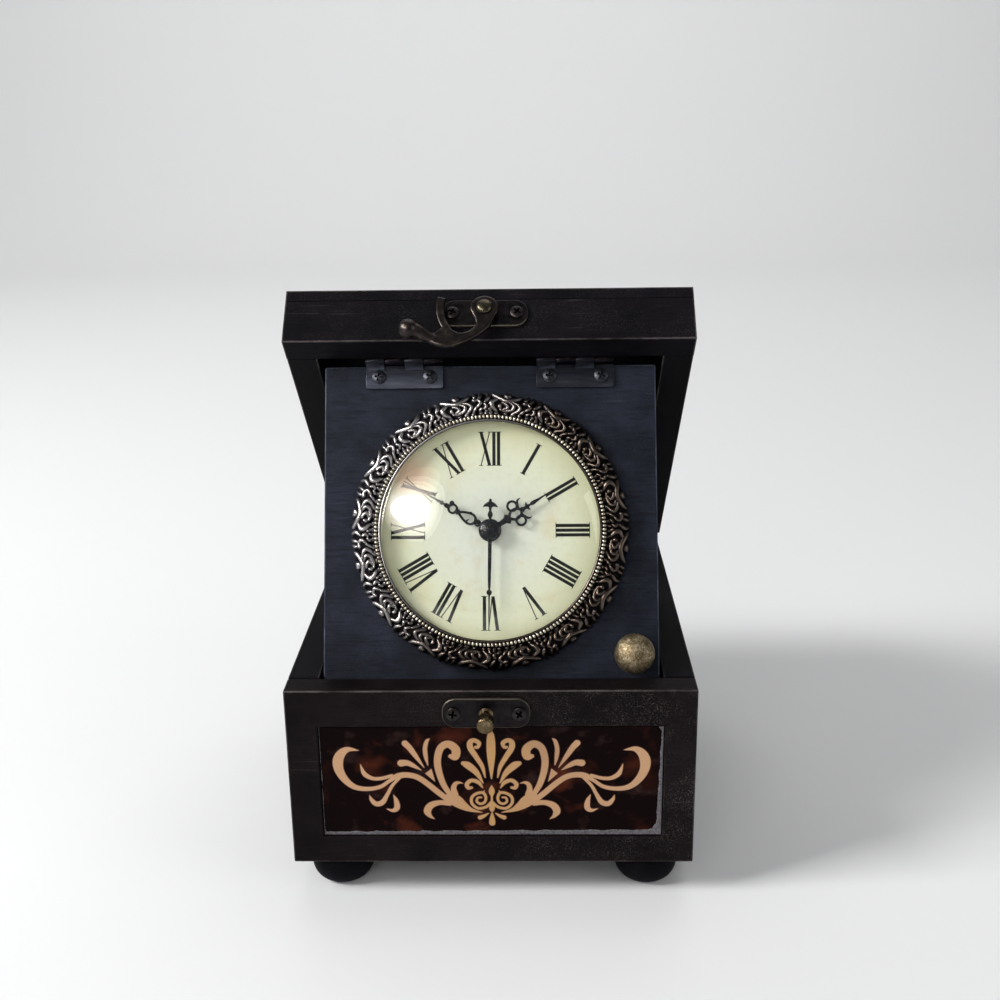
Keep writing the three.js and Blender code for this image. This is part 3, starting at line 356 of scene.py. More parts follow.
def tile_glass():
    """Brown-black tortoiseshell glass with a few smoky and reddish-brown clouds."""
    finish = Finish("tile_glass", IOR=1.5, Specular_IOR_Level=0.035)
    whole = finish.place((0.8, 1, 1))
    cloud = finish.noise(whole, 0.075, 3, 0.5, 0.3)
    smoke = finish.noise(whole, 0.13, 4, 0.55)
    central = finish.ramp(from_middle(finish, whole), (0.4, 1), (0.8, 0.3))
    amber = finish.times(finish.ramp(cloud, (0.55, 0), (0.76, 0.9)), central)
    tone = finish.mix(amber, rgb(14, 4, 4), rgb(88, 40, 24))
    finish.colour(finish.tint(tone, rgb(70, 50, 46), smoke, (0.58, 0), (0.78, 0.45)))
    finish.roughness(smoke, 0.14, 0.24)
    finish.bump(finish.noise(whole, 0.4, 3), 0.04)
    return finish.material


def ornament_paint():
    """Peach paint that turns golden towards the middle, over a thin dark-red halo."""
    finish = Finish("ornament_paint", Specular_IOR_Level=0.3)
    whole = finish.place()
    uneven = finish.times(finish.noise(whole, 0.1, 3), 0.3)
    outwards = finish.plus(from_middle(finish, whole), uneven)
    gold = finish.ramp(outwards, (0.1, rgb(184, 142, 88)), (0.45, rgb(186, 144, 106)),
                       (0.8, rgb(193, 151, 114)))
    speckle = finish.noise(whole, 2.4, 4, 0.7)
    tone = finish.tint(gold, rgb(146, 98, 62), speckle, (0.45, 0), (0.8, 0.35))
    inset = finish.attribute("inset")
    finish.colour(finish.tint(tone, rgb(60, 20, 14), inset, (0.22, 1), (0.32, 0)))
    finish.roughness(speckle, 0.42, 0.56)
    finish.bump(speckle, 0.03)
    return finish.material


DIAL_RADIUS = 42
# Where a peach patch is painted on the dial card as the warm window's reflection above its glare,
# and how far it reaches, in millimetres
WARM_REFLECTION_PLACE = (-30, 0, 21)
WARM_REFLECTION_REACH = 14


def dial_card():
    """Aged card: greenish white in the middle, yellower towards the rim, with faint stains, and a
    painted reflection of the warm window in peach at the upper left.
    """
    finish = Finish("dial_card", Specular_IOR_Level=0.2)
    whole = finish.place()
    radius = finish.math("DIVIDE", finish.vector("LENGTH", whole, output="Value"), DIAL_RADIUS)
    tone = finish.ramp(radius, (0.3, rgb(215, 219, 203)), (0.7, rgb(215, 218, 189)),
                       (0.97, rgb(204, 205, 164)))
    stain = finish.noise(whole, 0.07, 4, 0.65)
    tone = finish.tint(tone, rgb(206, 192, 150), stain, (0.54, 0), (0.72, 0.55))
    # Painted reflection: a peach patch above the window's glare on the glass
    flat = finish.vector("MULTIPLY", whole, (1, 0, 1))
    away = finish.vector("DISTANCE", flat, WARM_REFLECTION_PLACE, "Value")
    peach = finish.plus(finish.math("DIVIDE", away, WARM_REFLECTION_REACH), finish.times(stain, 0.5))
    tone = finish.tint(tone, rgb(220, 184, 152), peach, (0.45, 0.85), (1, 0))
    mottle = finish.noise(whole, 0.5, 5, 0.65)
    finish.colour(finish.tint(tone, rgb(178, 182, 160), mottle, (0.5, 0), (0.85, 0.35)))
    finish.roughness(mottle, 0.55, 0.7)
    finish.bump(mottle, 0.02)
    return finish.material


def plain_finish(name, low, high, roughness, metallic=0, scale=1.2, depth=0.02, gloss=0.5):
    """A moulded or painted surface with a slight mottle and grain."""
    finish = Finish(name, Metallic=metallic, Specular_IOR_Level=gloss)
    whole = finish.place()
    mottle = finish.noise(whole, scale, 5, 0.6)
    finish.colour(finish.tint(rgb(*low), rgb(*high), mottle, (0.35, 0), (0.68, 1)))
    finish.roughness(mottle, roughness - 0.08, roughness + 0.1)
    finish.bump(finish.noise(whole, scale * 5, 4), depth)
    return finish.material


def clear_glass():
    """Window glass, which lets the lamps' light through to the dial."""
    finish = Finish("clear_glass", Roughness=0.02, IOR=1.45, Transmission_Weight=1.0)
    finish.colour((1, 1, 1, 1))
    passing = finish.math("MAXIMUM", finish.node("LightPath", {}, "Is Shadow Ray"),
                          finish.node("LightPath", {}, "Is Diffuse Ray"))
    clear = finish.node("BsdfTransparent", {}, 0)
    both = finish.node("MixShader", {0: passing, 1: finish.shader.outputs[0], 2: clear}, 0)
    finish.put(finish.tree.nodes["Material Output"].inputs["Surface"], both)
    return finish.material


BLACK_PAINT = (rgb(12, 11, 14), rgb(20, 18, 22), rgb(84, 78, 77))
BROWN_BLACK_PAINT = (rgb(16, 12, 13), rgb(27, 22, 23), rgb(84, 78, 77))
SLATE_PAINT = (rgb(23, 26, 35), rgb(38, 42, 54), rgb(90, 97, 112))

# Each name's grain, paint, amounts of dust and grain, slant and gloss
WOODS = {
    "black_wood_x": ("x", *BLACK_PAINT, 0.22, 0.5),
    "black_wood_y": ("y", *BLACK_PAINT, 0.18, 0.5),
    "black_wood_z": ("z", *BLACK_PAINT, 0.15, 0.4),
    "dusty_wood": ("x", *BROWN_BLACK_PAINT, 0.9, 0.4, 0.008, 0.05),
    "slate_wood": ("x", *SLATE_PAINT, 0.1, 0.45, 0, 0.08),
}
# Each name's base, dark and light colour, roughness, depth of pits, stretch, painted shade towards
# the pin and specks
METALS = {
    "aged_steel": ((59, 63, 73), (48, 52, 61), (82, 87, 98), 0.42, 0.02, (0.2, 1, 1.6), True),
    # A darker copy of aged_steel: painted shade for the right-hand panel hinge leaf
    "dark_steel": ((49, 52, 60), (40, 42, 49), (68, 72, 82), 0.42, 0.02, (0.2, 1, 1.6), True),
    "knuckle_steel": ((24, 22, 25), (15, 14, 16), (50, 46, 49), 0.42, 0.03),
    "screw_black": ((56, 58, 64), (42, 43, 48), (84, 87, 95), 0.4, 0.02),
    "screw_brown": ((50, 46, 46), (36, 33, 34), (76, 70, 66), 0.4, 0.02),
    "aged_bronze": ((59, 53, 51), (45, 41, 41), (86, 79, 70), 0.34, 0.02),
    "rivet_bronze": ((82, 77, 63), (62, 58, 48), (112, 106, 88), 0.32, 0.02),
    "aged_brass": ((142, 129, 103), (104, 87, 64), (176, 165, 142), 0.56, 0.1, (1, 1, 1), False,
                   0.7),
    "pin_brass": ((98, 84, 62), (66, 54, 42), (142, 128, 100), 0.3, 0.02),
    "bead_brass": ((190, 184, 168), (142, 134, 116), (226, 222, 208), 0.36, 0.02),
    "zinc_steel": ((168, 168, 166), (130, 130, 128), (204, 204, 200), 0.3),
}
# Each name's low and high colour, roughness, metallic, scale, depth and gloss
PLAIN = {
    "old_glue": ((56, 54, 58), (112, 110, 114), 0.7, 0, 1.2, 0.15),
    "numeral_ink": ((10, 11, 8), (20, 21, 15), 0.5, 0, 1.2, 0.02, 0.1),
    "hand_black": ((9, 10, 13), (15, 17, 22), 0.26, 0, 1.2, 0.02, 0.25),
    "case_plastic": ((20, 20, 21), (32, 32, 34), 0.45, 0, 2.2, 0.05),
    "battery_jacket": ((58, 64, 72), (70, 78, 88), 0.3, 0.3, 0.4),
}
MATERIALS = {
    "tile_glass": tile_glass(), "ornament_paint": ornament_paint(), "plate_bronze": plate_finish(),
    "bezel_metal": bezel_finish(), "dial_card": dial_card(), "clear_glass": clear_glass(),
}
for make, table in ((wood, WOODS), (metal, METALS), (plain_finish, PLAIN)):
    MATERIALS.update({name: make(name, *values) for name, values in table.items()})


# Making pieces

SHARP_ANGLE = math.radians(38)
WELD = 1e-7


def add_piece(name, mesh, place, body, material, slot, *replaced, smooth=True):
    """Puts a mesh in its place, on its body, standing for CAD nodes."""
    mesh.name = name
    obj = linked(name, mesh)
    obj.matrix_world = place
    mesh.materials.clear()
    mesh.materials.append(MATERIALS[material])
    if smooth:
        mesh.shade_smooth()
        mesh.set_sharp_from_angle(angle=SHARP_ANGLE)
    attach(obj, body)
    if replaced:
        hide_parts(*replaced)
    return obj


def facing_outwards(mesh, weld=0.0):
    """The mesh with its faces turned outwards, points closer than the weld made one."""
    bm = bmesh.new()
    bm.from_mesh(mesh)
    if weld:
        bmesh.ops.remove_doubles(bm, verts=bm.verts, dist=weld)
    bmesh.ops.recalc_face_normals(bm, faces=bm.faces)
    bm.to_mesh(mesh)
    bm.free()
    return mesh


def mesh_of(points, faces):
    """A mesh from points in millimetres."""
    mesh = bpy.data.meshes.new("mesh")
    mesh.from_pydata([Vector(p) * MM for p in points], [], faces)
    mesh.validate()
    return facing_outwards(mesh, WELD)


def marked_mesh(points, faces, name, values):
    """A mesh from an array of points in millimetres, with a number at each for its finish."""
    mesh = bpy.data.meshes.new("mesh")
    mesh.from_pydata(points * MM, [], faces)
    mesh.attributes.new(name, "FLOAT", "POINT").data.foreach_set("value", values.astype(np.float32))
    return facing_outwards(mesh)


def mesh_from(bm):
    mesh = bpy.data.meshes.new("mesh")
    bm.to_mesh(mesh)
    bm.free()
    return mesh


def ball(radius, subdivisions):
    bm = bmesh.new()
    bmesh.ops.create_icosphere(bm, subdivisions=subdivisions, radius=radius)
    return mesh_from(bm)


def box_mesh(low, high):
    """A box between two corners in metres."""
    points = [(x, y, z) for x in (low.x, high.x) for y in (low.y, high.y) for z in (low.z, high.z)]
    faces = [(0, 1, 3, 2), (4, 6, 7, 5), (0, 4, 5, 1), (2, 3, 7, 6), (0, 2, 6, 4), (1, 5, 7, 3)]
    return mesh_of([Vector(p) / MM for p in points], faces)


def bridged(first, second):
    """Points and faces of the closed solid between two outlines."""
    count = len(first)
    faces = [tuple(range(count)), tuple(reversed(range(count, 2 * count)))]
    for i in range(count):
        j = (i + 1) % count
        faces.append((i, i + count, j + count, j))
    return first + second, faces


def extruded(outline, low, high, axis):
    """A closed outline swept from low to high along X, or along Y, in millimetres."""
    if axis == "x":
        return bridged([(low, a, b) for a, b in outline], [(high, a, b) for a, b in outline])
    return bridged([(a, low, b) for a, b in outline], [(a, high, b) for a, b in outline])


def joined(*parts):
    """Several (points, faces) as one."""
    points, faces = [], []
    for part_points, part_faces in parts:
        start = len(points)
        points += [tuple(p) for p in part_points]
        faces += [tuple(i + start for i in face) for face in part_faces]
    return points, faces


def with_modifiers(mesh, *steps):
    """The mesh after some modifiers, each step being (type, settings)."""
    obj = linked("temporary", mesh)
    for kind, settings in steps:
        modifier = obj.modifiers.new(kind, kind)
        for key, value in settings.items():
            setattr(modifier, key, value)
    graph = bpy.context.evaluated_depsgraph_get()
    made = bpy.data.meshes.new_from_object(obj.evaluated_get(graph))
    bpy.data.objects.remove(obj)
    return made


def cut_mesh(mesh, cutters):
    """The mesh with solid cutters taken away."""
    tools = [linked("cutter", cutter) for cutter in cutters]
    settings = {"operation": "DIFFERENCE", "solver": "EXACT"}
    made = with_modifiers(mesh, *(("BOOLEAN", {**settings, "object": tool}) for tool in tools))
    for tool in tools:
        bpy.data.objects.remove(tool)
    return made


def rounded(mesh, width, segments=3, angle=30):
    """The mesh with its sharp edges rounded, width in millimetres."""
    return with_modifiers(mesh, ("BEVEL", {
        "width": width * MM, "segments": segments, "limit_method": "ANGLE",
        "angle_limit": math.radians(angle), "harden_normals": True,
    }))


# Sides where a board joins another and its edges aren't worn: small letters for low sides
JOINED = {
    "base_front_wall": "Y", "base_back_wall": "y", "base_left_wall": "yY",
    "base_right_wall": "yY", "base_bottom_board": "xXyY", "lid_front_rail": "YZ",
    "lid_back_rail": "yZ", "lid_left_rail": "yYZ", "lid_right_rail": "yYZ", "lid_top_board": "z",
}
BEYOND = 9 * MM


def set_wear(obj, low, high):
    """Tells a wooden piece's finish between which corners its edges are worn."""
    obj["wear_low"], obj["wear_high"] = list(low), list(high)


def board(node, place, body, material, slot="black_wood", edge=0.5, cutters=()):
    """A wooden board the size of its CAD node, with rounded edges, drawn round its own middle."""
    box = Box(node, place)
    mesh = box_mesh(-box.half, box.half)
    if cutters:
        to_middle = Matrix.Translation(-box.middle)
        mesh = cut_mesh(mesh, [moved(cutter, to_middle) for cutter in cutters])
    mesh = rounded(mesh, edge)
    where = place @ Matrix.Translation(box.middle)
    made = add_piece(f"{node}_wood", mesh, where, body, material, slot, node, smooth=False)
    wear_low, wear_high = -box.half, box.half.copy()
    for axis, letter in enumerate("xyz"):
        if letter in JOINED.get(node, ""):
            wear_low[axis] -= BEYOND
        if letter.upper() in JOINED.get(node, ""):
            wear_high[axis] += BEYOND
    set_wear(made, wear_low, wear_high)


def turned(profile, segments):
    """The mesh of a profile of (radius, forward) turned round the forward axis, in millimetres."""
    points, faces, rings = [], [], []
    for radius, forward in profile:
        count = 1 if radius < 1e-6 else segments
        rings.append([len(points) + i for i in range(count)])
        for i in range(count):
            angle = 2 * math.pi * i / segments
            points.append((radius * math.cos(angle), -forward, radius * math.sin(angle)))
    for low, high in zip(rings, rings[1:]):
        for i in range(segments):
            j = (i + 1) % segments
            places = ((low, i), (low, j), (high, j), (high, i))
            corners = tuple(dict.fromkeys(ring[k % len(ring)] for ring, k in places))
            if len(corners) > 2:
                faces.append(corners)
    return mesh_of(points, faces)


def curve_through(points, steps=10):
    """A smooth line through points, as many steps between each two."""
    points = [np.array(p, float) for p in points]
    ends = [2 * points[0] - points[1]] + points + [2 * points[-1] - points[-2]]
    line = []
    for a, b, c, d in zip(ends, ends[1:], ends[2:], ends[3:]):
        for i in range(steps):
            t = i / steps
            line.append(0.5 * (2 * b + (c - a) * t + (2 * a - 5 * b + 4 * c - d) * t * t
                               + (3 * b - a - 3 * c + d) * t ** 3))
    line.append(points[-1])
    return np.array(line)


# Flat shapes, as fields: the signed distance to their outline in millimetres, below zero inside


def grid(low, high, step):
    """Sample places over a rectangle."""
    xs = np.arange(low[0], high[0] + step, step)
    zs = np.arange(low[1], high[1] + step, step)
    return np.meshgrid(xs, zs, indexing="ij")


def disc_field(x, z, centre, radius):
    return np.hypot(x - centre[0], z - centre[1]) - radius


def ring_field(x, z, centre, radius, width):
    return np.abs(np.hypot(x - centre[0], z - centre[1]) - radius) - width / 2


def corner_field(past_x, past_z, corner):
    """A region with round corners, from how far each place is past its sides and its ends."""
    away_x, away_z = past_x + corner, past_z + corner
    outside = np.hypot(np.maximum(away_x, 0), np.maximum(away_z, 0))
    return outside + np.minimum(np.maximum(away_x, away_z), 0) - corner


def box_field(x, z, half_x, half_z, corner=0):
    return corner_field(np.abs(x) - half_x, np.abs(z) - half_z, corner)


def segment_distance(x, z, start, end):
    """Distance to a straight line, and how far along it the nearest place is, 0 to 1."""
    dx, dz = end[0] - start[0], end[1] - start[1]
    long = max(dx * dx + dz * dz, 1e-12)
    t = np.clip(((x - start[0]) * dx + (z - start[1]) * dz) / long, 0, 1)
    return np.hypot(x - start[0] - t * dx, z - start[1] - t * dz), t


def stroke_field(x, z, stroke):
    """A brush stroke through points of (x, z, width), with round ends."""
    line = curve_through(stroke, 8)
    best = np.full(x.shape, 1e9)
    for a, b in zip(line, line[1:]):
        distance, t = segment_distance(x, z, a, b)
        best = np.minimum(best, distance - (a[2] + (b[2] - a[2]) * t) / 2)
    return best


def add_strokes(field, x, z, strokes):
    """The field with strokes added, each one worked out only near itself."""
    for stroke in strokes:
        places = np.array(stroke)
        margin = places[:, 2].max() / 2 + 1.5
        low, high = places.min(0) - margin, places.max(0) + margin
        near = np.ix_((x[:, 0] > low[0]) & (x[:, 0] < high[0]), (z[0] > low[1]) & (z[0] < high[1]))
        field[near] = np.minimum(field[near], stroke_field(x[near], z[near], stroke))
    return field


def outline_field(x, z, outline):
    """A closed outline of any shape."""
    best = np.full(x.shape, 1e9)
    inside = np.zeros(x.shape, bool)
    for (ax, az), (bx, bz) in zip(outline, outline[1:] + outline[:1]):
        best = np.minimum(best, segment_distance(x, z, (ax, az), (bx, bz))[0])
        if az != bz:
            crossed = (az > z) != (bz > z)
            inside ^= crossed & (x < (bx - ax) * (z - az) / (bz - az) + ax)
    return np.where(inside, -best, best)


def flat_mesh(field, x, z, back, front, edge, drop, both=False):
    """The plate where the field is below zero, each point keeping its inset from the outline.

    Over the width of its edge the front face drops in a round, and so does the back with both."""
    points, insets, index = [], [], {}

    def corner(key):
        if key not in index:
            index[key] = len(points)
            points.append((x[key], z[key]))
            insets.append(-field[key])
        return index[key]

    def crossing(a, b):
        key = (a, b) if a < b else (b, a)
        if key not in index:
            start, end = key
            t = min(max(field[start] / (field[start] - field[end]), 0.02), 0.98)
            index[key] = len(points)
            points.append((x[start] + t * (x[end] - x[start]), z[start] + t * (z[end] - z[start])))
            insets.append(0.0)
        return index[key]

    inside = field < 0
    touched = inside[:-1, :-1] | inside[1:, :-1] | inside[:-1, 1:] | inside[1:, 1:]
    tops, rims = [], []
    for i, k in zip(*np.nonzero(touched)):
        cell = [(i, k), (i + 1, k), (i + 1, k + 1), (i, k + 1)]
        polygon, leaving, entering = [], [], []
        for a, b in zip(cell, cell[1:] + cell[:1]):
            if inside[a]:
                polygon.append(corner(a))
            if inside[a] != inside[b]:
                made = crossing(a, b)
                polygon.append(made)
                (leaving if inside[a] else entering).append((len(polygon) - 1, made))
        tops.append(tuple(polygon))
        for place, made in leaving:
            rims.append((made, polygon[(place + 1) % len(polygon)]))
    count = len(points)
    inset = np.array(insets)
    fall = drop * (1 - np.sqrt(1 - np.clip(1 - inset / edge, 0, 1) ** 2))
    flat = np.array(points)
    top = np.stack([flat[:, 0], fall - front, flat[:, 1]], 1)
    bottom = np.stack([flat[:, 0], np.full(count, -back) - (fall if both else 0), flat[:, 1]], 1)
    faces = tops + [tuple(i + count for i in reversed(face)) for face in tops]
    faces += [(b, a, a + count, b + count) for a, b in rims]
    return marked_mesh(np.concatenate([top, bottom]), faces, "inset", np.tile(inset, 2))


def mirrored(strokes):
    """Strokes with their mirror images about the middle line."""
    return strokes + [[(-x, z, w) for x, z, w in stroke] for stroke in strokes]


def merged(*meshes):
    """Several meshes as one."""
    bm = bmesh.new()
    for mesh in meshes:
        bm.from_mesh(mesh)
        bpy.data.meshes.remove(mesh)
    return mesh_from(bm)


def moved(mesh, matrix):
    mesh.transform(matrix)
    return mesh


# Wooden boards

TILE = Box("glass_tile", BASE)
FRONT_WALL = Box("base_front_wall", BASE)
SEAT_GAP = 0.3 * MM
RIM_CHAMFER = 1.2
WINDOW_GAP = Vector((0.6, 2, 0.6)) * MM
FOOT_RADIUS = 12


def base_boards():
    gap = Vector((SEAT_GAP, SEAT_GAP, SEAT_GAP))
    pocket_low = Vector((TILE.low.x, FRONT_WALL.low.y - MM, TILE.low.z))
    pocket = box_mesh(pocket_low - gap, TILE.high + gap)
    back, top, past = FRONT_WALL.high.y / MM, FRONT_WALL.high.z / MM, 2
    left, right = FRONT_WALL.low.x / MM, FRONT_WALL.high.x / MM
    slope = [(back - RIM_CHAMFER, top + 0.001), (back - RIM_CHAMFER, top + past),
             (back + past, top + past), (back + past, top - RIM_CHAMFER),
             (back + 0.001, top - RIM_CHAMFER)]
    chamfer = mesh_of(*extruded(slope, left - past, right + past, "x"))
    board("base_front_wall", BASE, "base", "dusty_wood", cutters=[pocket, chamfer])
    board("base_back_wall", BASE, "base", "black_wood_x")
    board("base_left_wall", BASE, "base", "black_wood_y")
    board("base_right_wall", BASE, "base", "black_wood_y")
    board("base_bottom_board", BASE, "base", "black_wood_y", edge=0.3)


def lid_boards():
    board("lid_front_rail", LID, "lid", "black_wood_x", edge=0.1)
    board("lid_back_rail", LID, "lid", "black_wood_x")
    board("lid_left_rail", LID, "lid", "black_wood_y")
    board("lid_right_rail", LID, "lid", "black_wood_y")
    board("lid_top_board", LID, "lid", "black_wood_x", edge=0.1)


def panel_board():
    movement = Box("movement_case", PANEL)
    window = box_mesh(movement.low - WINDOW_GAP, movement.high + WINDOW_GAP)
    board("clock_panel", PANEL, "clock_panel", "slate_wood", "slate_wood", edge=0.8,
          cutters=[window])


def foot_profile(height, radius):
    """A bun foot's half outline, as (radius, height)."""
    profile = [(0, 0), (radius * 0.6, 0)]
    steps = 22
    for i in range(steps + 1):
        t = i / steps
        end = radius * (0.66 + 0.05 * t)
        bulge = math.sin(math.pi * t) ** 0.6
        profile.append((end + (radius - end) * bulge, height * (0.05 + 0.9 * t)))
    return profile + [(radius * 0.68, height), (0, height)]


def feet():
    upright = Matrix.Rotation(math.radians(-90), 4, "X")
    for place in ("front_left", "front_right", "rear_left", "rear_right"):
        node = f"foot_{place}"
        low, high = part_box(node)
        middle = (low + high) / 2
        mesh = turned(foot_profile(FRONT_WALL.low.z / MM, FOOT_RADIUS), 64)
        where = Matrix.Translation((middle.x, middle.y, low.z)) @ upright
        made = add_piece(f"{node}_turned", mesh, where, "base", "black_wood_z", "black_wood", node)
        set_wear(made, [-3 * BEYOND] * 3, [3 * BEYOND] * 3)


# Glass tile and its ornament


def tile():
    mesh = rounded(box_mesh(-TILE.half, TILE.half), 0.35)
    add_piece("glass_tile_pane", mesh, Matrix.Translation(TILE.middle), "base", "tile_glass",
              "tile_glass", "glass_tile", smooth=False)


# The ornament's strokes, each a row of (right of the middle, depth below the opening, width)
ORNAMENT_MIDDLE = [
    [(0, 2.1, 0.6), (0, 4, 2.4), (0, 7.3, 3.1), (0, 12, 2.9), (0, 17, 1.7), (0, 21.7, 0.3)],
    [(0, 24.5, 0.2), (0, 26.9, 2.1), (0, 29.1, 0.7), (0, 31.5, 0.9), (0, 34, 2), (0, 35.4, 0.6)],
    [(0, 36, 0.4), (0, 38.8, 1.9), (0, 40.3, 2.2)],
]
ORNAMENT_PETALS = [
    [(2.3, 21.2, 0.35), (3.3, 16.8, 1.4), (5.3, 13, 1.8), (7.5, 9.1, 2.1), (7.6, 6.7, 1.9),
     (6.1, 5.9, 1.6), (4.4, 7, 1.5), (4.8, 8.7, 1), (5.6, 8.7, 1.1)],
    [(3.1, 23.5, 0.3), (5.5, 19.2, 2), (8.4, 16.3, 2.7), (10.35, 15.3, 1.5)],
    [(3.3, 25.5, 0.3), (4.8, 23.3, 1.4), (7.3, 22.4, 1.4), (9.1, 23.9, 1.5), (8.7, 25.5, 1.3),
     (7.4, 25.4, 0.9)],
    [(0.2, 31.5, 0.9), (2.15, 33.5, 1), (5.15, 34.1, 1), (7.4, 32.1, 1), (7.4, 29.5, 1),
     (5.6, 27.9, 1), (3.2, 27.6, 1), (2.2, 29.5, 0.9), (2.7, 31.5, 0.9), (4.3, 32.2, 0.9),
     (5.6, 31.2, 0.8), (5.2, 29.7, 0.7), (3.9, 29.5, 0.6)],
    [(3.2, 27.6, 0.6), (2.7, 26.65, 0.2)],
    [(1.3, 36.2, 0.3), (3.1, 37.4, 1.2), (4.5, 38, 1.6)],
]
ORNAMENT_SCROLLS = [
    [(3.5, 35.9, 0.1), (7.7, 34.8, 1.5), (10.6, 33.1, 3.2), (13.3, 30.9, 4.6), (15.4, 29.6, 3.8)],
    [(13.65, 28.2, 2.4), (14.1, 25.8, 1.9), (13.5, 23.95, 1.5), (12.2, 23.3, 0.9),
     (10.6, 23.6, 0.1)],
    [(15.7, 32, 1.9), (19.5, 31.7, 1.9), (22.75, 32.9, 2.5), (24.1, 35.3, 2.6), (23.1, 37.35, 1.3),
     (21.5, 38.6, 0.1)],
    [(15.55, 28.2, 1.7), (17.9, 23.8, 2.1), (19.5, 18, 2.4), (19.7, 13.2, 2.5), (18.4, 8.9, 2.6),
     (15.6, 7.4, 2.8), (13, 9.5, 3.1), (13.2, 12.45, 2.9), (14.95, 12.4, 1.5)],
    [(16.5, 30.3, 2), (19.8, 27.4, 2.1), (23.8, 23.7, 2.1), (27.5, 21, 2.1), (31.3, 20.1, 2.1),
     (34.7, 20.6, 2.2), (37.7, 22.5, 1.3), (41.25, 25, 1.4), (45.95, 25.9, 1.6), (50.6, 25.15, 2),
     (54, 22.3, 2.6), (56.15, 18.3, 3.3), (56.5, 14.4, 3.8), (55.2, 11.3, 3.2), (52.6, 9.5, 1.9),
     (48.6, 9.9, 0.1)],
    [(36.8, 20.4, 1.2), (40.65, 21.5, 1.3), (44, 21.5, 1.4), (46.7, 19.9, 1.7), (47.8, 17.5, 0.9),
     (48.3, 15.55, 0.1)],
    [(33.9, 21.3, 0.9), (36.8, 24.5, 1.1), (38.8, 28.3, 1.3), (40.7, 31.5, 1.9), (43.05, 32.2, 1.9),
     (44.75, 30.5, 1.3), (45.4, 28.6, 0.1)],
    [(36.5, 28.4, 0.1), (35.55, 31, 1.6), (35.4, 33.8, 2), (36.9, 35, 1.3), (39.3, 34.3, 0.1)],
    [(23.4, 16, 0.3), (24, 12.6, 1.35), (24.2, 9.2, 1.5), (23.5, 6.3, 1.25), (22.5, 5.2, 0.2)],
    [(24.8, 17, 0.2), (27.6, 12.5, 1.6), (29.9, 8.9, 2.1), (31.5, 7.05, 2.3)],
    [(25.9, 18.1, 0.2), (28.6, 16.3, 1.5), (31, 15.1, 2.1), (33.2, 15.2, 2.6)],
]
ORNAMENT_WEDGE = [(24.4, 19.5), (22.1, 17.6), (20.9, 22.9)]
ORNAMENT_STEP = 0.2
HALO = 0.3


def ornament():
    """The painted palmette and scrolls, in low relief on the glass, with a thin dark halo."""
    x, z = grid((-60, -44), (60, 0), ORNAMENT_STEP)
    strokes = ORNAMENT_MIDDLE + mirrored(ORNAMENT_PETALS + ORNAMENT_SCROLLS)
    strokes = [[(px, -depth, width) for px, depth, width in stroke] for stroke in strokes]
    field = add_strokes(np.full(x.shape, 1e9), x, z, strokes)
    wedge = [(px, -depth) for px, depth in ORNAMENT_WEDGE]
    field = np.minimum(field, outline_field(np.abs(x), z, wedge))
    mesh = flat_mesh(field - HALO, x, z, back=0.02, front=0.1, edge=HALO * 2, drop=0.07)
    where = Matrix.Translation((0, TILE.low.y, TILE.high.z + SEAT_GAP))
    add_piece("tile_ornament", mesh, where, "base", "ornament_paint", "tile_glass", smooth=False)


# How far the glue reaches in from each side, from left to right or from the bottom up
GLUE_LEFT = 0.25
GLUE_BOTTOM = (1.3, 2)
GLUE_RIGHT = (2.2, 0.6)
GLUE_TOP = -0.4
GLUE_CORNERS = (0.5, 3.6)
GLUE_STEP = 0.21


def glue_line():
    """The worn line of glue round the tile, wider at the bottom and on the right."""
    half_x, half_z = TILE.half.x / MM, TILE.half.z / MM
    x, z = grid((-half_x - 0.3, -half_z - 0.3), (half_x + 0.3, half_z + 0.3), GLUE_STEP)
    rough = 0.1 * np.sin(0.7 * x + 2 * np.sin(0.6 * z))
    rough += 0.06 * np.sin(3.1 * x + 1) * np.sin(0.9 * x)
    rough += 0.12 * np.sin(0.8 * z + 2 * np.sin(0.5 * x)) + 0.06 * np.sin(3.3 * z)
    across, up = (x + half_x) / (2 * half_x), (z + half_z) / (2 * half_z)
    bottom = GLUE_BOTTOM[0] + (GLUE_BOTTOM[1] - GLUE_BOTTOM[0]) * across
    right = GLUE_RIGHT[0] + (GLUE_RIGHT[1] - GLUE_RIGHT[0]) * up
    sides = np.maximum(GLUE_LEFT - half_x - x + 0.5 * rough, right - half_x + x + rough)
    ends = np.maximum(bottom - half_z - z + rough, GLUE_TOP - half_z + z + 0.6 * rough)
    bare = corner_field(sides, ends, np.where(x > 0, GLUE_CORNERS[1], GLUE_CORNERS[0]))
    field = np.maximum(-bare, box_field(x, z, half_x - 0.05, half_z - 0.05))
    mesh = flat_mesh(field, x, z, back=0.01, front=0.14, edge=0.25, drop=0.1)
    where = Matrix.Translation((TILE.middle.x, TILE.low.y, TILE.middle.z))
    add_piece("tile_glue_line", mesh, where, "base", "old_glue", "tile_glass", smooth=False)


# Clock, in the place whose origin is on the panel's face, its forward distances in millimetres

DIAL_FACE = 1.9
GLASS_BACK = 4.6
GLASS_THICKNESS = 1.0
GLASS_RISE = 5.0
GLASS_RADIUS = 40.3
GLASS_BRIM = 42.3
DOME_POWER = 3.2
HOUR_BACK = 3.7
MINUTE_BACK = 4.4
SECOND_BACK = 5.1
HAND_THICKNESS = 0.4
BOSS_RADIUS = 4.25
BOSS_HEIGHT = 1.9

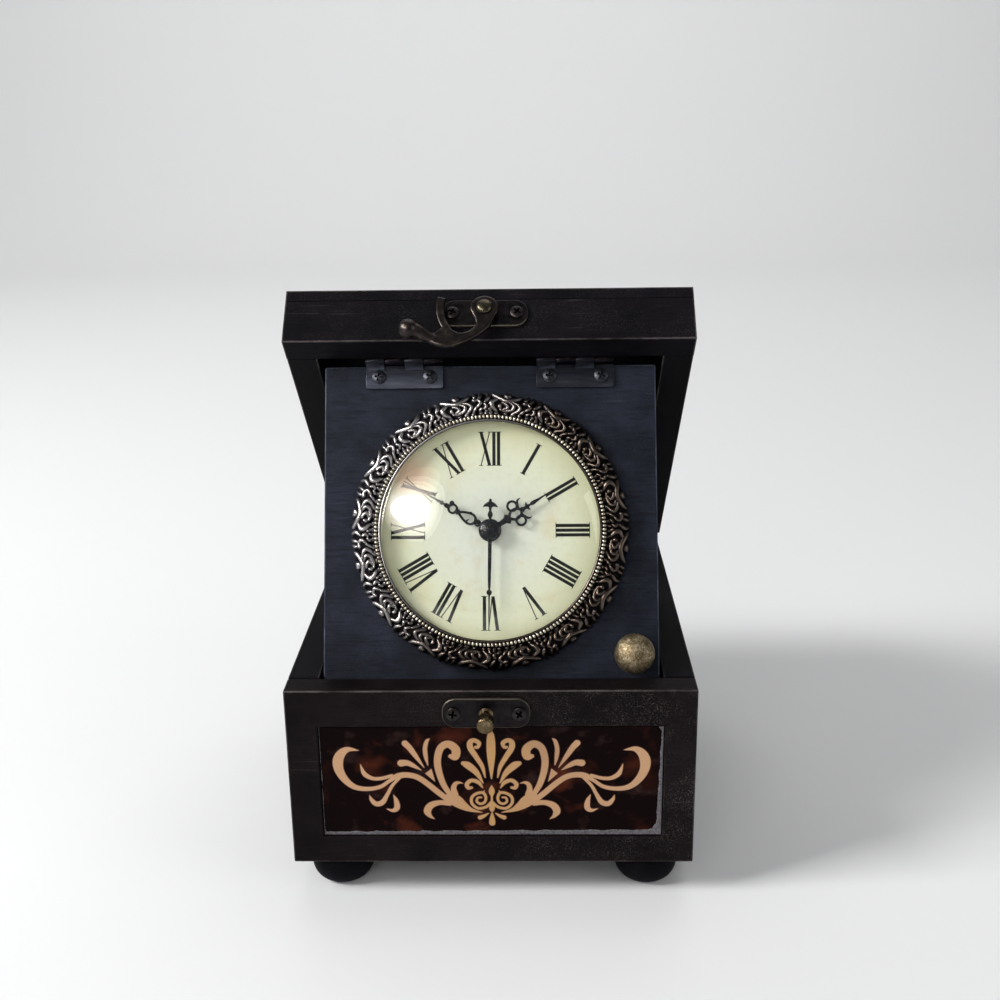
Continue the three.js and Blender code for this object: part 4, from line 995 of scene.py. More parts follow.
# The bezel's outline as (radius, forward): the embossed part from the rim inwards, then the rest
BEZEL_FRONT = [(52.5, 1), (52.4, 1.9), (51.7, 3.3), (50.6, 4.5), (49.2, 5.5), (47.4, 6.05),
               (45.4, 5.9), (44.2, 5.3), (43.5, 4.9)]
BEZEL_REST = [(43.2, 5.3), (43, 6.2), (42.8, 6.65), (41.8, 6.65), (41.62, 6.2), (41.5, 6.15),
              (41.3, 6.55), (41.1, 6.6), (40.95, 6.45), (40.7, 6.3), (40.6, 6.1), (40.6, 5.9),
              (42.6, 5.9), (42.6, 1.4), (46.6, 1.4), (46.6, 0.3), (50.9, 0.3)]
# How worn each of the rest is: dark in the groove, bright on the lip inside the beads
BEZEL_SHINE = [0.2, 0.3, 0.3, 0.2, 0.15, 0.2, 0.8, 0.9, 0.8, 0.7, 0.6, 0.4] + [0.2] * 5
BEZEL_REPEATS = 16
BEZEL_REPEAT = 360 / BEZEL_REPEATS
BEZEL_COLUMNS = 96
BEZEL_ROWS = 52
BEZEL_MIDDLE = 47.5
RIDGE_FOOT = 0.1
RIDGE_STOUTNESS = 1.6
BEZEL_FIRST = math.radians(14.7)
BEZEL_DEPTH = 1.25

# One repeat of the embossing: strokes of (degrees from the leaf, radius, width)
BEZEL_STROKES = [
    [(-5.8, 51.6, 0.7), (-4.4, 50.5, 1.05), (-2.3, 49.5, 1.15), (0, 49, 1.3), (2.2, 49.6, 1.15),
     (4.1, 50.5, 1.1), (6.3, 51.6, 0.8)],
    [(-1.2, 51.75, 0.7), (0, 51.35, 1.5), (1.2, 51.75, 0.7)],
    [(-2.8, 48.6, 0.5), (-4.9, 48, 0.9), (-6.3, 46.6, 1), (-5.3, 44.9, 0.95), (-3.2, 43.6, 0.8)],
    [(-1.6, 48, 0.5), (-3.3, 47.1, 0.9), (-2.9, 45.4, 1), (0, 44.45, 1.1), (2.6, 44.9, 0.8)],
    [(1.9, 48, 0.6), (0.1, 47.2, 0.9), (-0.6, 46, 0.9), (0.9, 45.35, 0.7)],
    [(2.9, 46.9, 0.8), (3.1, 46.2, 1), (2.6, 45.6, 0.6)],
    [(0.2, 44.1, 0.8), (-0.1, 43.4, 0.6)],
    [(4.7, 49.3, 0.8), (6.8, 48.1, 1.3), (6.5, 46.2, 1.2), (5, 44.6, 1), (4.2, 43.5, 0.7)],
    [(8.9, 52.2, 0.8), (8.2, 50.7, 1), (8.9, 49.3, 1), (9.8, 48.3, 0.6)],
    [(11.5, 52.2, 0.8), (11.9, 51.2, 0.95), (12.3, 50.1, 0.7)],
    [(13.8, 52.1, 0.8), (14.3, 51.2, 0.95), (14.5, 50.4, 0.7)],
    [(14.7, 49.1, 1), (13, 49.3, 0.8), (11.8, 48, 0.9), (12.8, 46.7, 0.9), (13.4, 46.1, 0.5)],
    [(9.9, 47.3, 0.8), (9.3, 46.2, 0.9), (10.2, 45.2, 0.6)],
    [(7.9, 45.2, 0.8), (7.2, 43.8, 0.9)],
    [(11.4, 45.4, 0.8), (12.3, 44.5, 0.9), (11.7, 43.5, 0.7)],
    [(14, 46, 0.7), (14.9, 44.7, 0.9), (16, 43.5, 0.7)],
    [(9.3, 44.2, 0.8), (9.8, 43.5, 0.7)],
]


def bezel_relief(radius):
    """How high the ridges of one repeat stand, 0 to 1, in each column and at each radius."""
    along = math.radians(1) * BEZEL_MIDDLE
    columns = np.arange(BEZEL_COLUMNS) * BEZEL_REPEAT / BEZEL_COLUMNS
    angle, spread = np.meshgrid(columns, radius, indexing="ij")
    relief = np.zeros(angle.shape)
    for stroke in BEZEL_STROKES:
        for shift in (-BEZEL_REPEAT, 0, BEZEL_REPEAT):
            line = curve_through([((a + shift) * along, r, w) for a, r, w in stroke], 6)
            for a, b in zip(line, line[1:]):
                distance, t = segment_distance(angle * along, spread, a, b)
                half = (a[2] + (b[2] - a[2]) * t) / 2 * RIDGE_STOUTNESS + RIDGE_FOOT
                height = np.sqrt(np.maximum(0, 1 - (distance / half) ** 2))
                relief = np.maximum(relief, height * np.minimum(1, 0.6 + 0.4 * half))
    return relief


def bezel():
    """The embossed ring: its front, sunk between the ridges, and the rest of its section."""
    path = curve_through(BEZEL_FRONT, 12)
    travel = np.concatenate([[0], np.cumsum(np.hypot(*np.diff(path, axis=0).T))])
    at = np.linspace(0, travel[-1], BEZEL_ROWS)
    radius = np.interp(at, travel, path[:, 0])
    forward = np.interp(at, travel, path[:, 1])
    slope = np.gradient(np.stack([radius, forward], 1), axis=0)
    slope /= np.linalg.norm(slope, axis=1)[:, None]
    relief = np.tile(bezel_relief(radius), (BEZEL_REPEATS, 1))
    depth = (1 - relief) * BEZEL_DEPTH * np.minimum(1, np.arange(BEZEL_ROWS)[::-1] / 2)
    count = len(relief)
    rest = np.tile(BEZEL_REST, (count, 1, 1))
    r = np.concatenate([radius - depth * slope[:, 1], rest[:, :, 0]], axis=1)
    f = np.concatenate([forward + depth * slope[:, 0], rest[:, :, 1]], axis=1)
    turn = (BEZEL_FIRST + 2 * math.pi * np.arange(count) / count)[:, None]
    points = np.stack([r * np.cos(turn), -f, r * np.sin(turn)], 2).reshape(-1, 3)
    shine = np.concatenate([relief, np.tile(BEZEL_SHINE, (count, 1))], axis=1).ravel()
    rows = r.shape[1]
    faces = []
    for column in range(count):
        near, far = column * rows, (column + 1) % count * rows
        for row in range(rows):
            after = (row + 1) % rows
            faces.append((near + row, near + after, far + after, far + row))
    mesh = marked_mesh(points, faces, "relief", shine)
    add_piece("bezel_embossed", mesh, CLOCK, "clock_panel", "bezel_metal", "bezel_metal", "bezel")


BEAD_COUNT = 186
BEAD_PLACE = (42.3, -6.58, 0)
BEAD_HALF = Vector((0.75, 0.55, 0.53))


def bead_ring():
    """Short rounded bars round the opening."""
    bead = ball(1, 2)
    for vertex in bead.vertices:
        x, y, z = vertex.co
        vertex.co = Vector((math.copysign(abs(x) ** 0.6, x), y, z)) * BEAD_HALF
    beads = []
    for i in range(BEAD_COUNT):
        turn = Matrix.Rotation(-2 * math.pi * i / BEAD_COUNT, 4, "Y")
        where = Matrix.Scale(MM, 4) @ turn @ Matrix.Translation(BEAD_PLACE)
        beads.append(moved(bead.copy(), where))
    add_piece("bezel_bead_ring", merged(*beads), CLOCK, "clock_panel", "bead_brass", "bezel_metal")


def dome_rise(radius):
    """How far the domed glass stands forward of its rim at a radius."""
    return GLASS_RISE * (1 - (radius / GLASS_RADIUS) ** DOME_POWER)


def glass():
    radii = [GLASS_RADIUS * i / 60 for i in range(61)]
    front = GLASS_BACK + GLASS_THICKNESS
    profile = [(r, GLASS_BACK + dome_rise(r)) for r in radii]
    profile += [(GLASS_BRIM, GLASS_BACK), (GLASS_BRIM, front)]
    profile += [(r, front + dome_rise(r)) for r in reversed(radii)]
    add_piece("clock_glass_dome", turned(profile, 256), CLOCK, "clock_panel", "clear_glass",
              "clear_glass", "clock_glass")


def dial():
    profile = [(3.2, 1.4), (42.2, 1.4), (42.2, DIAL_FACE), (3.2, DIAL_FACE), (3.2, 1.4)]
    add_piece("dial_card", turned(profile, 128), CLOCK, "clock_panel", "dial_card", "dial_card",
              "dial")


NUMERALS = ["XII", "I", "II", "III", "IIII", "V", "VI", "VII", "VIII", "IX", "X", "XI"]
NUMERAL_INNER = 24.4
NUMERAL_OUTER = 36.9
SERIF = 0.55
SERIF_HALF = 0.13
SERIF_INK = 0.03

# Each letter's advance, and its strokes as (foot, head, width, thickness of the ink)
LETTERS = {
    "I": (1.75, [(0, 0, 1.22, 0.05)]),
    "V": (4.6, [(0, -1.65, 1.22, 0.05), (0.3, 1.65, 0.36, 0.04)]),
    "X": (4.7, [(1.6, -1.6, 1.22, 0.05), (-1.6, 1.6, 0.36, 0.04)]),
}


def slab(corners, ink):
    """A thin prism of ink on the dial from its four corners."""
    return bridged([(x, -DIAL_FACE, z) for x, z in corners],
                   [(x, -DIAL_FACE - ink, z) for x, z in corners])


def numeral(letters):
    """One hour's letters with their heads outwards, their fine serifs joined where they meet."""
    parts, feet_at, heads_at = [], [], []
    start = -sum(LETTERS[letter][0] for letter in letters) / 2
    for letter in letters:
        advance, strokes = LETTERS[letter]
        middle = start + advance / 2
        start += advance
        for foot, head, width, ink in strokes:
            inner, outer, half = middle + foot, middle + head, width / 2
            corners = [(inner - half, NUMERAL_INNER), (inner + half, NUMERAL_INNER),
                       (outer + half, NUMERAL_OUTER), (outer - half, NUMERAL_OUTER)]
            parts.append(slab(corners, ink))
            heads_at.append((outer, half + SERIF))
            if letter != "V":
                feet_at.append((inner, half + SERIF))
    for places, z in ((feet_at, NUMERAL_INNER), (heads_at, NUMERAL_OUTER)):
        spans = []
        for low, high in sorted((x - reach, x + reach) for x, reach in places):
            if spans and low <= spans[-1][1]:
                spans[-1][1] = max(high, spans[-1][1])
            else:
                spans.append([low, high])
        for low, high in spans:
            corners = [(low, z - SERIF_HALF), (high, z - SERIF_HALF),
                       (high, z + SERIF_HALF), (low, z + SERIF_HALF)]
            parts.append(slab(corners, SERIF_INK))
    return joined(*parts)


def numerals():
    meshes = []
    for hour, letters in enumerate(NUMERALS):
        turn = Matrix.Rotation(math.radians(30 * hour), 4, "Y")
        meshes.append(moved(mesh_of(*numeral(letters)), turn))
    add_piece("dial_numerals", merged(*meshes), CLOCK, "clock_panel", "numeral_ink", "dial_card",
              smooth=False)


HAND_STEP = 0.07
HOUR_ANGLE = 57.5
MINUTE_ANGLE = -60
SECOND_ANGLE = 181


def add_hand(name, strokes, discs, rings, back, angle, length, *extra):
    """A stamped hand pointing up, turned clockwise by its angle in degrees."""
    x, z = grid((-6, -13), (6, length + 1), HAND_STEP)
    field = add_strokes(np.full(x.shape, 1e9), x, z, strokes)
    for centre_x, centre_z, radius in discs:
        field = np.minimum(field, disc_field(x, z, (centre_x, centre_z), radius))
    for centre_x, centre_z, radius, width in rings:
        field = np.minimum(field, ring_field(x, z, (centre_x, centre_z), radius, width))
    mesh = flat_mesh(field, x, z, back, back + HAND_THICKNESS, edge=0.16, drop=0.12)
    if extra:
        mesh = merged(mesh, *extra)
    place = CLOCK @ Matrix.Rotation(math.radians(angle), 4, "Y")
    add_piece(f"{name}_stamped", mesh, place, name, "hand_black", "hand_black", name)


def hour_hand():
    sides = [
        [(0, 8, 1.6), (0.95, 9.2, 1.1), (1.8, 10.4, 0.9), (1.75, 12, 0.9), (1, 13.2, 1),
         (0, 13.9, 1.1)],
        [(1.4, 13, 1.1), (2.6, 13.6, 1.1), (3.6, 14.2, 0.9), (4.05, 15, 0.6), (4.05, 15.9, 0.15)],
    ]
    strokes = mirrored(sides) + [
        [(0, 2, 2.2), (0, 4.9, 1.9), (0, 6.4, 2.2)],
        [(-1.9, 7.7, 0.3), (0, 7.7, 2.6), (1.9, 7.7, 0.3)],
        [(0, 13.8, 1.3), (0, 15.2, 1.2), (0, 16.4, 1.4), (0, 17.6, 0.5)],
        [(-1.7, 16.9, 0.1), (-0.9, 16.4, 0.8), (0, 16.3, 1), (0.9, 16.4, 0.8), (1.7, 16.9, 0.1)],
        [(0, 17.6, 0.5), (0, 18.8, 1.5), (0, 21, 1), (0, 25.3, 0.35)],
    ]
    discs = [(0, 0, 3.6), (0, 7.6, 1.5), (0, 14.2, 1)]
    rings = [(-3.15, 11.7, 1.75, 0.9), (3.15, 11.7, 1.75, 0.9)]
    add_hand("hour_hand", strokes, discs, rings, HOUR_BACK, HOUR_ANGLE, 26)


def minute_hand():
    side = [(0, 6.2, 1.3), (1.5, 7.2, 0.9), (1.9, 8.7, 0.9), (1.5, 10.6, 0.9), (0.7, 12.4, 0.9),
            (0, 13.4, 1.2)]
    strokes = mirrored([side]) + [
        [(0, 2, 1.5), (0, 4.5, 1.2)],
        [(-1.8, 9.4, 0.9), (-0.8, 9.1, 0.5), (-0.4, 8.8, 0.2)],
        [(-1.2, 13.8, 0.1), (0, 13.7, 1.3), (1.2, 13.8, 0.1)],
        [(0, 14.3, 1.2), (-1.3, 15.2, 0.85), (-1.35, 16.7, 0.85), (0, 17.9, 1.2)],
        [(0, 14.3, 1.2), (1.4, 15.1, 0.85), (1.5, 16.7, 0.9), (0, 17.9, 1.2)],
        [(0, 17.9, 1.1), (0, 18.6, 1.8), (0, 19.6, 0.8), (0, 22, 0.7), (0, 30, 0.5),
         (0, 36.9, 0.32)],
    ]
    discs = [(0, 0, 3.3), (0, 5.35, 1.35), (1.9, 9.4, 0.6), (1.7, 17.3, 0.95), (0, 20.7, 0.8),
             (0, 22.1, 0.6)]
    add_hand("minute_hand", strokes, discs, [], MINUTE_BACK, MINUTE_ANGLE, 38)


def quarter_round(radius, start, end, steps):
    """A dome's outline as (radius, forward), from its rim to its tip."""
    angles = [math.pi / 2 * i / steps for i in range(steps)]
    dome = [(radius * math.cos(a), start + (end - start) * math.sin(a)) for a in angles]
    return dome + [(0, end)]


def second_hand():
    strokes = [
        [(0, 0, 1.5), (0, 12, 1.3), (0, 20, 1.05), (0, 22.1, 0.7), (0, 23, 2), (0, 24, 0.7),
         (0, 30, 0.5), (0, 36.4, 0.24)],
        [(0, 0, 1.3), (0, -4.4, 1), (0, -5.7, 1.9), (0, -7.2, 0.9), (0, -8.6, 1.2), (0, -9.5, 1.5),
         (0, -11.2, 1)],
        [(-2.8, -8.5, 0.1), (-1.6, -9.3, 1.2), (0, -9.6, 2.1), (1.6, -9.3, 1.2), (2.8, -8.5, 0.1)],
    ]
    profile = [(0, SECOND_BACK), (BOSS_RADIUS, SECOND_BACK)]
    profile += quarter_round(BOSS_RADIUS, SECOND_BACK + 0.3, SECOND_BACK + BOSS_HEIGHT, 12)
    add_hand("second_hand", strokes, [], [], SECOND_BACK, SECOND_ANGLE, 38, turned(profile, 64))


# Swing hook, its rivet and plates, in places whose origin is on the wood's face

HOOK_BACK = 2.8
HOOK_THICKNESS = 2.4
# The ball, and the arm's swelling towards it, as (to the right, forward, up, radius)
HOOK_BALL = (-27.8, 1.8, -10, 3.8)
HOOK_SWELL = [(-18.4, 0, -13.4, 1.6), (-21, 0.5, -12.4, 2.1), (-23.6, 1.1, -11, 2.5),
              (-26, 1.7, -10.3, 2.9)]
FINGER_OUTER = 18
FINGER_INNER = 14.8


def arc(radius, start, end, steps=16):
    """Places along an arc round the origin, from one angle in degrees to another."""
    angles = np.radians(np.linspace(start, end, steps + 1))
    return [(radius * math.cos(a), radius * math.sin(a)) for a in angles]


def hook():
    """The swing hook: an eye, an arm that sweeps to a ball, and a finger between them."""
    under = [(-18.2, -10.9), (-21, -9.9), (-24.4, -7.3)]
    arm = [(-26.5, -10), (-22.4, -13.2), (-17.6, -16.2), (-12.6, -16.8), (-7, -14.9), (-2, -12),
           (2, -8.4)]
    throat = [(-3.6, -4.6), (-3.3, -7.4), (-5.6, -10), (-8.9, -10.9), (-11.6, -9.6)]
    lines = (under, arm, throat)
    under, arm, throat = ([tuple(p) for p in curve_through(line, 6)] for line in lines)
    outline = arc(FINGER_OUTER, 163, 209) + under + arm + arc(5.3, -38, 193, 32) + throat
    outline += arc(FINGER_INNER, 209, 163)
    x, z = grid((-33, -19), (7, 8), 0.2)
    field = outline_field(x, z, outline)
    front = HOOK_BACK + HOOK_THICKNESS
    blade = flat_mesh(field, x, z, HOOK_BACK, front, edge=0.9, drop=0.8, both=True)
    middle = HOOK_BACK + HOOK_THICKNESS / 2
    parts = [blade]
    for x_at, ahead, z_at, radius in [HOOK_BALL, *curve_through(HOOK_SWELL, 8).tolist()]:
        place = Matrix.Translation(Vector((x_at, -(middle + ahead), z_at)) * MM)
        parts.append(moved(ball(radius * MM, 4 if radius > 3 else 3), place))
    cast = with_modifiers(
        merged(*parts),
        ("REMESH", {"mode": "VOXEL", "voxel_size": 0.2 * MM, "use_smooth_shade": True}),
        ("SMOOTH", {"factor": 0.5, "iterations": 6}),
    )
    upright = moved(cast, HOOK.to_3x3().to_4x4())
    add_piece("latch_hook_cast", upright, Matrix.Translation(HOOK.translation), "hook",
              "aged_bronze", "aged_bronze", "latch_hook")


def smooth_profile(profile, first):
    """A turned outline with its points from the first one on joined by a curve."""
    curve = [tuple(p) for p in curve_through(profile[first:], 4)]
    return profile[:first] + [(max(r, 0), f) for r, f in curve]


def rivet():
    seat = HOOK_BACK + HOOK_THICKNESS + 0.05
    profile = [(0, -6), (1.5, -6), (1.5, seat), (3, seat), (3, seat + 0.35), (2.85, seat + 0.75),
               (2.4, seat + 1.2), (1.6, seat + 1.55), (0.7, seat + 1.72), (0, seat + 1.75)]
    add_piece("latch_rivet_head", turned(smooth_profile(profile, 3), 48), HOOK, "lid",
              "rivet_bronze", "aged_bronze", "latch_rivet")


PLATE_CORNER = 5.0
PLATE_HOLE = 1.7


def latch_plates():
    for node, place, body in (("latch_plate", LID, "lid"), ("catch_plate", BASE, "base")):
        box = Box(node, place)
        half_x, half_z = box.half.x / MM, box.half.z / MM
        x, z = grid((-half_x - 0.4, -half_z - 0.4), (half_x + 0.4, half_z + 0.4), 0.22)
        hole = disc_field(x, z, (0, 0), PLATE_HOLE)
        field = np.maximum(box_field(x, z, half_x, half_z, PLATE_CORNER), -hole)
        mesh = flat_mesh(field, x, z, 0, 2 * box.half.y / MM, edge=0.5, drop=0.42)
        where = place @ Matrix.Translation((box.middle.x, box.high.y, box.middle.z))
        add_piece(f"{node}_bevelled", mesh, where, body, "plate_bronze", "aged_bronze", node)


def catch_pin():
    box = Box("catch_pin", BASE)
    face = FRONT_WALL.low.y
    tip = (face - box.low.y) / MM
    head = box.half.x / MM
    shoulder = tip - 5.4
    profile = [(0, -6), (1.9, -6), (1.9, 1.7), (2.6, 1.7), (2.6, 2.1), (1.8, 2.5),
               (1.75, shoulder - 0.3), (2.0, shoulder), (head - 0.5, shoulder + 0.1),
               (head - 0.1, shoulder + 0.6), (head, shoulder + 1.4), (head, tip - 1.3),
               (head - 0.1, tip - 0.8), (head - 0.5, tip - 0.3), (head - 1.3, tip - 0.06), (0, tip)]
    where = Matrix.Translation((box.middle.x, face, box.middle.z))
    mesh = turned(smooth_profile(profile, 8), 48)
    add_piece("catch_pin_turned", mesh, where, "base", "pin_brass", "aged_brass", "catch_pin")


# Screws

SCREW_RADIUS = 2.6
SCREW_HEIGHT = 0.75
# From a CAD screw's foremost point back to the seat of its head
SCREW_SEAT = 0.7 * MM


def screw_mesh():
    """A small cross-headed screw whose head sits on the origin's plane."""
    profile = [(0, -4), (1.2, -3.2), (1.2, -0.02), (SCREW_RADIUS - 0.15, -0.02),
               (SCREW_RADIUS, 0.08), (SCREW_RADIUS - 0.05, 0.25), (SCREW_RADIUS * 0.82, 0.5),
               (SCREW_RADIUS * 0.5, 0.68), (0, SCREW_HEIGHT)]
    wide, narrow, long, short, top, bottom = 0.5, 0.25, 1.8, 1.1, -1.2, 0.3
    slot = mesh_of(*bridged(
        [(-long, top, -wide), (long, top, -wide), (long, top, wide), (-long, top, wide)],
        [(-short, bottom, -narrow), (short, bottom, -narrow), (short, bottom, narrow),
         (-short, bottom, narrow)],
    ))
    crossing = moved(slot.copy(), Matrix.Rotation(math.pi / 2, 4, "Y"))
    return cut_mesh(turned(profile, 40), [slot, crossing])


SCREW_TURNS = {
    "latch_screw_left": 20, "latch_screw_right": 38, "catch_screw_left": 8, "catch_screw_right": 33,
    "panel_hinge_screw_left_outer": 12, "panel_hinge_screw_left_inner": 38,
    "panel_hinge_screw_right_inner": 5, "panel_hinge_screw_right_outer": 24,
}


def screws():
    mesh = screw_mesh()
    for node, turn in SCREW_TURNS.items():
        if node.startswith("latch"):
            place, body, material = LID, "lid", "screw_brown"
        elif node.startswith("catch"):
            place, body, material = BASE, "base", "screw_brown"
        else:
            place, body, material = PANEL, "clock_panel", "screw_black"
        box = Box(node, place)
        seat = Vector((box.middle.x, box.low.y + SCREW_SEAT, box.middle.z))
        where = place @ Matrix.Translation(seat) @ Matrix.Rotation(math.radians(turn), 4, "Y")
        slot = "aged_steel" if body == "clock_panel" else "aged_bronze"
        add_piece(f"{node}_head", mesh.copy(), where, body, material, slot, node)


# Hinges, each leaf in the frame of its pin: the leaf hangs down behind the pin

KNUCKLES = 4
KNUCKLE_GAP = 0.15
BARREL_RADIUS = 1.5
BORE_RADIUS = 0.8
LEAF_THICKNESS = 0.9
LEAF_CORNER = 0.7
LEAF_TOP = -1.9
STRAP_TOP = -0.9
SCREW_INSET = 5


def leaf_mesh(width, height, first):
    """A stamped leaf with every second knuckle rolled from it."""
    half, pitch = width / 2, width / KNUCKLES
    starts = [i * pitch - half for i in range(first, KNUCKLES, 2)]
    spans = [(start + KNUCKLE_GAP, start + pitch - KNUCKLE_GAP) for start in starts]
    foot, cut = half - LEAF_CORNER, half - 0.2
    outline = [(-half, LEAF_CORNER - height), (-cut, 0.2 - height), (-foot, -height),
               (foot, -height), (cut, 0.2 - height), (half, LEAF_CORNER - height), (half, LEAF_TOP)]
    for low, high in reversed(spans):
        if high < half - 1:
            outline.append((high + 0.6, LEAF_TOP))
        else:
            outline.pop()
        outline += [(high, STRAP_TOP), (low, STRAP_TOP)]
        if low > -half + 1:
            outline.append((low - 0.6, LEAF_TOP))
    if first:
        outline.append((-half, LEAF_TOP))
    back, face = BARREL_RADIUS, BARREL_RADIUS - LEAF_THICKNESS
    parts = [rounded(mesh_of(*extruded(outline, face, back, "y")), 0.16, segments=2)]
    roll = [(back, STRAP_TOP - 0.2)] + arc(BARREL_RADIUS, 0, 283, 26) + arc(BORE_RADIUS, 283, 0, 20)
    roll += [(face + 0.05, -0.4), (face, STRAP_TOP - 0.2)]
    ramp = [(face, -3.4), (-0.85, -1.24), (-1.24, -0.85), (-0.5, -0.62), (face + 0.3, -0.6),
            (back - 0.1, -0.9), (back - 0.1, -3.4)]
    for low, high in spans:
        for section in (roll, ramp):
            mesh = mesh_of(*extruded(section, low, high, "x"))
            parts.append(rounded(mesh, 0.1, segments=2, angle=50))
    return parts


def leaf_screws(width, height):
    """The two screws of a leaf out of sight, which is made in one with them."""
    screw = screw_mesh()
    placed = []
    for side in (-1, 1):
        x, z = side * (width / 2 - SCREW_INSET), (LEAF_TOP - height) / 2
        seat = Vector((x, BARREL_RADIUS - LEAF_THICKNESS, z)) * MM
        placed.append(moved(screw.copy(), Matrix.Translation(seat)))
    return placed


def hinges():
    upside_down = Matrix.Rotation(math.pi, 4, "X")
    about_face = Matrix.Rotation(math.pi, 4, "Z")

    def add_leaf(node, mesh, place, body, steel="aged_steel"):
        add_piece(f"{node}_stamped", mesh, place, body, steel, "aged_steel", node)

    # The right-hand leaf takes the same steel with painted shade
    for word, steel in (("left", "aged_steel"), ("right", "dark_steel")):
        leaf = Box(f"panel_hinge_leaf_{word}", PANEL)
        width, height = 2 * leaf.half.x / MM, -leaf.low.z / MM
        add_leaf(f"panel_hinge_leaf_{word}", merged(*leaf_mesh(width, height, 0)),
                 PANEL @ Matrix.Translation((leaf.middle.x, 0, 0)), "clock_panel", steel)
        pin = Matrix.Translation(Box(f"panel_hinge_pin_{word}", LID).middle)
        mesh = merged(*leaf_mesh(width, height, 1), *leaf_screws(width, height))
        where = LID @ pin @ upside_down
        add_leaf(f"panel_hinge_rail_leaf_{word}", mesh, where, "lid", "knuckle_steel")
        box = Box(f"rear_hinge_pin_{word}", BASE)
        pin = Matrix.Translation(box.middle)
        width = 2 * box.half.x / MM
        height = (box.middle.z - Box(f"rear_hinge_base_leaf_{word}", BASE).low.z) / MM
        mesh = merged(*leaf_mesh(width, height, 1), *leaf_screws(width, height))
        add_leaf(f"rear_hinge_base_leaf_{word}", mesh, pin @ about_face, "base")
        add_leaf(f"rear_hinge_lid_leaf_{word}", mesh.copy(), LID @ pin @ upside_down, "lid")


def knob():
    """The panel's pull knob: a domed brass head on a short waisted neck."""
    box = Box("pull_knob", PANEL)
    face = Box("clock_panel", PANEL).low.y
    radius = box.half.x / MM
    rise = (face - box.low.y) / MM
    edge = rise - 5.4
    profile = [(0, 0.3), (4.4, 0.3), (4.4, 0.9), (3.4, 1.6), (3, 2.6), (3.1, 3.7),
               (radius - 1.7, edge - 0.9), (radius - 0.5, edge - 0.5)]
    profile += quarter_round(radius, edge, rise, 18)
    where = PANEL @ Matrix.Translation((box.middle.x, face, box.middle.z))
    add_piece("pull_knob_turned", turned(profile, 96), where, "clock_panel", "aged_brass",
              "aged_brass", "pull_knob")


SOFT_EDGE = 0.15 * MM
# Pieces that keep their CAD shape, with a finish of their own and softened edges
KEPT = {
    "panel_hinge_pin_left": "knuckle_steel",
    "panel_hinge_pin_right": "knuckle_steel",
    "rear_hinge_pin_left": "aged_steel",
    "rear_hinge_pin_right": "aged_steel",
    "dial_plate": "zinc_steel",
    "glass_spacer_ring": "case_plastic",
    "movement_case": "case_plastic",
    "set_knob": "case_plastic",
    "battery": "battery_jacket",
    "battery_contact_left": "zinc_steel",
    "battery_contact_right": "zinc_steel",
    "spindle_bush": "pin_brass",
    "spindle_nut": "pin_brass",
    "knob_screw": "zinc_steel",
}


def inner_pieces():
    for node, material in KEPT.items():
        obj = frame["nodes"][node]
        if not obj.material_slots:
            obj.data.materials.append(MATERIALS[material])
        for slot in obj.material_slots:
            slot.material = MATERIALS[material]
        bevel = obj.modifiers.new("soft_edges", "BEVEL")
        bevel.width = SOFT_EDGE
        bevel.segments = 2
        bevel.limit_method = "ANGLE"
        bevel.angle_limit = math.radians(50)


# Floor, backdrop and light


STAGE_HALF = 6
STAGE_DEPTH = 1.6
STAGE_BEND = 0.8
STAGE_HEIGHT = 3


def add_stage():
    """A pale floor that bends up into its backdrop."""
    finish = Finish("studio_floor", Roughness=0.85, Specular_IOR_Level=0)
    finish.colour(rgb(232, 232, 232))
    section = [(-STAGE_HALF, 0)]
    steps = 16
    for i in range(steps + 1):
        angle = math.pi / 2 * i / steps
        bend, rise = STAGE_BEND * math.sin(angle), STAGE_BEND * (1 - math.cos(angle))
        section.append((STAGE_DEPTH + bend, rise))
    section.append((STAGE_DEPTH + STAGE_BEND, STAGE_HEIGHT))
    points = [(x, y, z) for y, z in section for x in (-STAGE_HALF, STAGE_HALF)]
    faces = [(i, i + 1, i + 3, i + 2) for i in range(0, len(points) - 2, 2)]
    mesh = bpy.data.meshes.new("studio_floor")
    mesh.from_pydata(points, [], faces)
    mesh.shade_smooth()
    mesh.materials.append(finish.material)
    floor = linked("studio_floor", mesh)


def add_lamp(name, place, target, size, power, colour=(1, 1, 1)):
    data = bpy.data.lights.new(name, "AREA")
    data.shape = "RECTANGLE"
    data.size, data.size_y = size
    data.energy = power
    data.color = colour
    lamp = linked(name, data)
    lamp.location = place
    lamp.rotation_mode = "QUATERNION"
    lamp.rotation_quaternion = (Vector(target) - Vector(place)).to_track_quat("-Z", "Y")
    return lamp


# Where on the domed glass the window mirrors, and how far away it stands, in metres
GLARE_RADIUS = 31.5
GLARE_TURN = math.radians(166)
GLARE_DISTANCE = 1.1
GLARE_SIZE = (0.5, 0.19)

# The window's lamps as (name, above its middle, width, height, strength, colour): a bright core,
# a halo that softens its outline, and a warm glow over it
GLARE_LAMPS = [("glare", 0, *GLARE_SIZE, 64, (1, 0.96, 0.9))]
for step, grown in enumerate((0.05, 0.1, 0.16, 0.23, 0.31)):
    GLARE_LAMPS.append((f"glare_halo_{step}", 0.01 + 0.06 * grown, GLARE_SIZE[0] + grown,
                        GLARE_SIZE[1] + 0.85 * grown, 5, (1, 0.94, 0.87)))
for step, width in enumerate((0.26, 0.4, 0.54)):
    GLARE_LAMPS.append((f"glare_warm_{step}", 0.22, width, 0.62 * width, 3.2, (1, 0.66, 0.42)))


